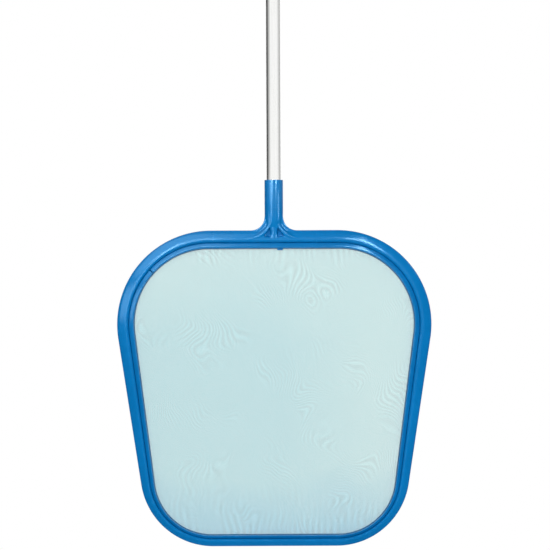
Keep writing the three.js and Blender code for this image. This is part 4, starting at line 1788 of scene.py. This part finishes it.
    def build_rivet(self, side: Side, material: Material) -> Object:
        """Builds a rivet with a domed head, turned to lie along X."""
        node = "lock_rivet_right" if side is Side.RIGHT else "lock_rivet_left"
        low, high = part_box(node)
        start, end = sorted((abs(low.x), abs(high.x)))
        seat = end - self.rivet_head_height
        head = (high.z - low.z) / 2
        ease = 0.15 * MM
        turn = np.linspace(0, math.pi / 2 - 0.12, 9)
        dome = stacked(head * np.cos(turn), seat + ease + (end - seat - ease) * np.sin(turn))
        shank = [(self.rivet_shank, start), (self.rivet_shank, seat), (head - ease, seat)]
        grid = lying(spun(np.concatenate([shank, dome]), 40), side, (low.z + high.z) / 2)
        mesh = Shell().tube(grid).mesh()
        name = "rivet_right" if side is Side.RIGHT else "rivet_left"
        return dressed(name, mesh, Seat(Body.HANDLE, Slot.ALUMINIUM, node), material)


@dataclass
class Handle:
    """The grip and the end cap with its hanging hole."""

    grip_thickness: float = 3.4 * MM
    grip_grooves: int = 7
    groove_depth: float = 0.9 * MM
    flute_depth: float = 0.25 * MM
    flutes: int = 24
    flange_thickness: float = 5 * MM
    wall: float = 2.2 * MM
    hole_radius: float = 6 * MM
    hole_ease: float = 0.8 * MM
    tab_half: float = 11 * MM
    tab_thickness: float = 8 * MM
    tab_ease: float = 1.2 * MM

    def build_grip(self, material: Material) -> Object:
        """Builds the grip.

        The radius is the sleeve's, less a round groove at each pitch, less fine flutes between
        the grooves. Both ends are rolled.
        """
        low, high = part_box("grip")
        radius = high.x
        bore = radius - self.grip_thickness
        pitch = (high.z - low.z) / (self.grip_grooves + 1)
        rows = 160
        height = np.linspace(low.z, high.z, rows)
        from_end = np.minimum(height - low.z, high.z - height)
        roll = self.grip_thickness * 0.45
        rolled = roll * (1 - np.sqrt(1 - (1 - np.clip(from_end / roll, 0, 1)) ** 2))
        number = (height - low.z) / pitch
        off = (number - np.round(number)) * pitch
        grooved = self.groove_depth * bell(off, pitch * 0.26)
        has_groove = (np.round(number) >= 1) & (np.round(number) <= self.grip_grooves)
        outside = stacked(radius - rolled - grooved * has_groove, height)
        inside = np.array([(bore, high.z), (bore, low.z)])
        grid = spun(np.concatenate([outside, inside]), self.flutes * 8)
        angle = around(self.flutes * 8)
        flat = ramp(np.abs(off), pitch * 0.27, pitch * 0.33) * ramp(from_end, roll, 3 * roll)
        flute = bell((angle * self.flutes / (2 * math.pi)) % 1 - 0.5, 0.35)
        sunk = self.flute_depth * flat[:, None] * flute
        grid[:rows, :, :2] *= (1 - sunk / outside[:, :1])[..., None]
        mesh = Shell().grid(grid, wrap_rows=True).mesh()
        return dressed("hand_grip", mesh, Seat(Body.HANDLE, Slot.GRIP, "grip"), material)

    def cap_plug(self) -> Shell:
        """The end cap's plug and flange."""
        low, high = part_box("end_cap")
        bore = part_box("outer_pole")[1].x - OUTER_WALL - FIT_GAP
        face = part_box("outer_pole")[1].z + FIT_GAP
        top = face + self.flange_thickness
        corners = [
            (bore * 0.4, low.z, 0),
            (bore - self.wall / 2, low.z, 0.5 * MM),
            (bore, low.z + self.wall, 0.8 * MM),
            (bore, face, 0.3 * MM),
            (high.x, face, 0.5 * MM),
            (high.x, top - self.wall, 1.4 * MM),
            (high.x - self.wall, top, 1.4 * MM),
            (bore * 0.4, top, 0),
        ]
        return turned(corners, False, steps=6)

    def cap_tab(self) -> Shell:
        """The hanging tab: a rounded plate carried round its hole.

        At each angle a section runs from the hole's wall over the back edge to the outline and
        home over the front. The outline is a half circle above the hole's centre and a rectangle
        below it, and both edges are eased.
        """
        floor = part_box("outer_pole")[1].z + FIT_GAP + self.flange_thickness / 2
        angle = around(120)
        cosine, sine = np.cos(angle), np.sin(angle)
        with np.errstate(divide="ignore"):
            to_side = self.tab_half / np.abs(cosine)
            to_floor = np.where(sine < 0, floor / np.minimum(sine, -1e-9), np.inf)
        outline = np.where(sine >= 0, self.tab_half, np.minimum(to_side, to_floor))
        half, turn = self.tab_thickness / 2, np.linspace(0, math.pi / 2, 5)
        along, down = 1 - np.sin(turn), 1 - np.cos(turn)
        edges = [
            stacked(share, ease * along, half - abs(ease) * down)
            for share, ease in ((0, self.hole_ease), (1, -self.tab_ease))
        ]
        back = np.concatenate([edges[0][::-1], edges[1]])
        share, shift, depth = np.concatenate([back, back[::-1] * [1, 1, -1]]).T
        reach = self.hole_radius + (outline[:, None] - self.hole_radius) * share + shift
        grid = stacked(reach * cosine[:, None], depth, reach * sine[:, None])
        return Shell().grid(grid, wrap_rows=True)

    def build_cap(self, material: Material) -> Object:
        """Builds the end cap, its tab run into its flange."""
        mesh = combined(self.cap_plug().mesh(), self.cap_tab(), "UNION")
        return dressed("hang_cap", mesh, Seat(Body.HANDLE, Slot.FRAME, "end_cap"), material)


# ---- Studio ----


@dataclass(frozen=True)
class Softbox:
    """An area lamp for the whole object.

    Attributes:
        name: The lamp's name.
        place: Where it stands, relative to the middle of the picture.
        size: Its width and height.
        power: Its power in watts.
    """

    name: str
    place: tuple[float, float, float]
    size: tuple[float, float]
    power: float

    def build(self, aim: Vector) -> Object:
        """Puts the lamp up, turned to the middle of the picture."""
        lamp = bpy.data.lights.new(self.name, "AREA")
        lamp.shape = "RECTANGLE"
        lamp.size, lamp.size_y = self.size
        lamp.energy = self.power
        stand = loose_object(self.name, lamp)
        stand.location = aim + Vector(self.place)
        stand.rotation_euler = (-Vector(self.place)).to_track_quat("-Z", "Y").to_euler()
        stand.visible_glossy = False
        return stand


@dataclass(frozen=True)
class Gloss:
    """An area lamp that only the blue plastic's gloss sees, which places a highlight on it.

    Attributes:
        name: The lamp's name.
        bearing: Degrees from the camera's side of the object, positive right.
        rise: Degrees above the level.
        distance: How far off it stands.
        size: Its width and height.
        radiance: How bright it is, where white paper in the studio is 1.
    """

    name: str
    bearing: float
    rise: float
    distance: float
    size: tuple[float, float]
    radiance: float

    def build(self, aim: Vector, shown: bpy.types.Collection) -> None:
        """Puts the lamp up. Its power is 4 times its area times its radiance."""
        turn, rise = math.radians(self.bearing), math.radians(self.rise)
        flat = math.cos(rise)
        way = Vector((math.sin(turn) * flat, -math.cos(turn) * flat, math.sin(rise)))
        power = 4 * self.size[0] * self.size[1] * self.radiance
        stand = Softbox(self.name, tuple(way * self.distance), self.size, power).build(aim)
        stand.visible_glossy = True
        stand.visible_diffuse = False
        stand.light_linking.receiver_collection = shown


TONE_ATTRIBUTE = "tone"
FLAG_ROWS, FLAG_COLUMNS = 17, 33


@dataclass(frozen=True)
class Flag:
    """A curved card that only reflections see, as a photographer stands beside shiny things.

    Attributes:
        name: The card's name.
        bearings: Degrees from the camera's side of the object to its two ends, positive right.
        rises: Degrees above the level of its lower and upper edge.
        distance: How far off it stands.
        tones: Its greys, evenly spaced from one end to the other.
        black_to_plastic: Whether the blue plastic sees it black and only the rest sees its greys.
    """

    name: str
    bearings: tuple[float, float]
    rises: tuple[float, float]
    distance: float
    tones: tuple[float, ...]
    black_to_plastic: bool = False

    def build(self, aim: Vector, spared: bpy.types.Collection) -> None:
        """Stands the card up.

        Args:
            aim: The picture's middle.
            spared: The collection that keeps the blue plastic out of a card's light.
        """
        turn = np.radians(np.linspace(*self.bearings, FLAG_COLUMNS))[None, :]
        rise = np.radians(np.linspace(*self.rises, FLAG_ROWS))[:, None]
        way = stacked(np.sin(turn) * np.cos(rise), -np.cos(turn) * np.cos(rise), np.sin(rise))
        mesh = Shell().grid(way * self.distance + np.array(aim), wrap_columns=False).mesh(self.name)
        places = np.linspace(0, 1, FLAG_COLUMNS)
        greys = np.interp(places, np.linspace(0, 1, len(self.tones)), self.tones)
        mark(mesh, TONE_ATTRIBUTE, np.tile(greys, FLAG_ROWS))
        material, sheet, _, _ = new_material(self.name)
        grey = sheet.add("Attribute", attribute_name=TONE_ATTRIBUTE).outputs["Color"]
        lit = sheet.add("Emission", grey, 1.0)
        sheet.feed(material.node_tree.nodes["Material Output"].inputs["Surface"], lit.outputs[0])
        mesh.materials.append(material)
        card = loose_object(self.name, mesh)
        for ray in ("camera", "diffuse", "shadow", "transmission", "volume_scatter"):
            setattr(card, "visible_" + ray, False)
        if self.black_to_plastic:
            card.light_linking.receiver_collection = spared


@dataclass
class Studio:
    """A white studio: world, floor, softboxes, cards and the camera."""

    picture_width: float = 550
    mm_per_pixel: float = 1.3333
    centre_x: float = 274.1
    line_y: float = 230.3
    roll: float = math.radians(0.25)
    distance: float = 3.2
    sensor: float = 36.0
    drop_below: float = 0.44
    floor_size: float = 7.2
    ambient: float = 0.37
    from_front: float = 0.28
    from_above: float = 0.1

    def build(self, rim_line: float, plastic: Sequence[Object]) -> None:
        """Builds the studio round the picture's middle.

        Args:
            rim_line: Height of the rim's top line.
            plastic: The objects that the gloss lamps light and the dark cards don't.
        """
        shown = bpy.data.collections.new("gloss_receivers")
        spared = bpy.data.collections.new("gloss_spared")
        for obj in plastic:
            shown.objects.link(obj)
            spared.objects.link(obj)
        for linked in spared.collection_objects:
            linked.light_linking.link_state = "EXCLUDE"
        middle = self.picture_width / 2
        scale = self.mm_per_pixel * MM
        aim = Vector(((middle - self.centre_x) * scale, 0, rim_line - (middle - self.line_y) * scale))
        self.build_camera(aim)
        self.build_world()
        self.build_floor()
        for lamp in self.softboxes():
            lamp.build(aim)
        for gloss in self.glosses():
            gloss.build(aim, shown)
        for flag in self.flags():
            flag.build(aim, spared)
        bpy.context.scene.view_settings.view_transform = "Standard"

    def softboxes(self) -> list[Softbox]:
        """The lamps that light the object: a broad key, a fill, and one for the back."""
        return [
            Softbox("key_softbox", (-0.3, -1.45, 0.35), (0.9, 1.0), 9.5),
            Softbox("fill_softbox", (0.5, -1.4, 0.1), (0.6, 0.9), 5),
            Softbox("back_softbox", (0.3, 1.45, 0.35), (0.9, 1.0), 15),
        ]

    def glosses(self) -> list[Gloss]:
        """The lamps that draw the blue plastic's highlights."""
        return [
            Gloss("corner_gloss", -38, 33, 0.62, (0.56, 0.44), 2.3),
            Gloss("left_gloss", -62, 1.3, 0.43, (0.16, 0.12), 3.6),
            Gloss("left_crest_gloss", -48, -1.5, 0.375, (0.08, 0.1), 4.0),
            Gloss("crest_gloss", -25, 15, 1.5, (0.85, 0.25), 4.3),
            Gloss("right_crest_gloss", 28, 18, 1.5, (0.45, 0.16), 1.8),
            Gloss("right_arm_gloss", 28, 30, 0.43, (0.11, 0.09), 23.0),
            Gloss("left_arm_gloss", -16, 28, 0.43, (0.06, 0.08), 10.0),
            Gloss("left_streak", -32, 13.5, 0.41, (0.05, 0.26), 11.0),
            Gloss("right_streak", 57, 26.7, 0.2, (0.025, 0.07), 14.0),
        ]

    def flags(self) -> list[Flag]:
        """The flags: greys that draw the tube's edges, and a dark bowl that keeps the plastic deep."""
        bowl = (0.05, 0.1, 0.4, 0.75, 1, 1, 1, 1, 1, 1, 0.75, 0.55, 0.35)
        return [
            Flag("left_grey", (-52, -100), (-30, 40), 2.4, (0.85, 0.2)),
            Flag("left_dark", (-100, -150), (-30, 40), 2.4, (0.1, 0.04)),
            Flag("right_grey", (72, 140), (-30, 40), 2.4, (0.85, 0.3)),
            Flag("dark_bowl", (-135, 135), (-89, 14.8), 0.45, bowl, True),
            Flag("dark_roof", (-5, 120), (10.5, 80), 5.5, (1, 1, 1, 0.8, 0.6), True),
        ]

    def build_camera(self, aim: Vector) -> None:
        """Sets up the camera square to the net, with the picture's slight roll."""
        camera = bpy.data.cameras.new("camera")
        camera.sensor_width = self.sensor
        half = self.picture_width / 2 * self.mm_per_pixel * MM
        camera.lens = self.sensor / 2 * self.distance / half
        camera.clip_end = 100
        stand = loose_object("camera", camera)
        look = Matrix.Rotation(math.pi / 2, 4, "X") @ Matrix.Rotation(-self.roll, 4, "Z")
        stand.matrix_world = Matrix.Translation(aim + Vector((0, -self.distance, 0))) @ look
        bpy.context.scene.camera = stand

    def build_world(self) -> None:
        """Lights the studio evenly, and shows white to the camera, to gloss and through clear things."""
        world = bpy.data.worlds.new("studio")
        bpy.context.scene.world = world
        world.use_nodes = True
        world.cycles.sampling_method = "NONE"
        sheet = Sheet(world.node_tree)
        way = sheet.add("SeparateXYZ", sheet.add("TexCoord").outputs["Generated"]).outputs
        front = sheet.spread(sheet.maths("MULTIPLY", way["Y"], -1.0), 0.0, 1.0, 0.0, self.from_front)
        above = sheet.spread(way["Z"], 0.0, 1.0, self.ambient, self.ambient + self.from_above)
        shown = sheet.add("Mix", sheet.seen_white(), data_type="FLOAT")
        sheet.fill(shown, {"A": sheet.maths("ADD", front, above), "B": 1.0})
        background = world.node_tree.nodes["Background"]
        sheet.fill(background, {"Color": opaque(WHITE), "Strength": shown.outputs[0]})

    def build_floor(self) -> None:
        """Lays a pale floor well below the net, white to the camera but for its soft shadow."""
        low = cad_box[0][2] - self.drop_below
        half = self.floor_size / 2
        mesh = bpy.data.meshes.new("floor")
        corners = [(x * half, y * half, low) for x, y in ((-1, -1), (1, -1), (1, 1), (-1, 1))]
        mesh.from_pydata(corners, [], [(0, 1, 2, 3)])
        material, sheet, shader, place = new_material("floor")
        tone = sheet.spread(sheet.noise(place, 2.0, 2.0), 0.3, 0.7, 0.8, 0.82)
        paper = sheet.add("CombineColor", tone, tone, tone).outputs[0]
        sheet.fill(shader, {"Base Color": paper, "Roughness": 0.9, "Specular IOR Level": 0.0})
        white = sheet.add("Emission", opaque(WHITE), 1.0)
        seen = sheet.maths("MULTIPLY", sheet.seen_white(), 0.93)
        mix = sheet.add("MixShader", seen, shader.outputs[0], white.outputs[0])
        sheet.feed(material.node_tree.nodes["Material Output"].inputs["Surface"], mix.outputs[0])
        mesh.materials.append(material)
        floor = loose_object("floor", mesh)


# ---- Assembly ----

FRAME_BLUE = MouldedPlastic("frame_blue", (0.0005, 0.172, 0.475), (0.03, 0.24, 0.56))
RING_BLUE = MouldedPlastic("ring_blue", (0.002, 0.162, 0.44), (0.03, 0.24, 0.54), roughness=0.18)
DARK_GREY = MouldedPlastic("dark_grey", (0.045, 0.055, 0.065), (0.1, 0.11, 0.12), 0.5, 0.4, WHITE)
WHITE_PLASTIC = MouldedPlastic("white_plastic", (0.78, 0.8, 0.81), (0.82, 0.83, 0.84), 0.45, 0.4, WHITE, 0.02)
GRIP_VINYL = MouldedPlastic(
    "grip_vinyl", (0.012, 0.09, 0.22), (0.03, 0.13, 0.28), 0.62, 0.3, WHITE, 0.1, 0.08 * MM
)
TUBE_METAL = DrawnAluminium()
NET_CLOTH = WovenNet()


def main() -> None:
    """Builds the sub-assemblies in order, then the studio."""
    logging.basicConfig(level=logging.INFO, format="%(name)s: %(message)s")
    effects = Effects()
    blue = FRAME_BLUE.build(effects)
    ring_blue = RING_BLUE.build(effects)
    dark = DARK_GREY.build(effects)
    white = WHITE_PLASTIC.build(effects)
    vinyl = GRIP_VINYL.build(effects)
    metal = TUBE_METAL.build(effects)

    head = Head()
    plastic = [head.build_frame(blue), head.build_ring(ring_blue)]
    head.build_net(NET_CLOTH.build(effects, head.eye.bottom, head.eye.top))

    pole = Pole()
    pole.build_inner(metal)
    pole.build_tip(dark)
    pole.build_bush(white)
    pole.build_outer(metal)

    lock = TwistLock()
    lock.build_sleeve(dark)
    lock.build_collet(white)
    lock.build_nut(blue)
    for side in Side:
        lock.build_rivet(side, metal)

    handle = Handle()
    handle.build_grip(vinyl)
    handle.build_cap(blue)

    Studio().build(head.line_z, plastic)


if __name__ == "__main__":
    main()
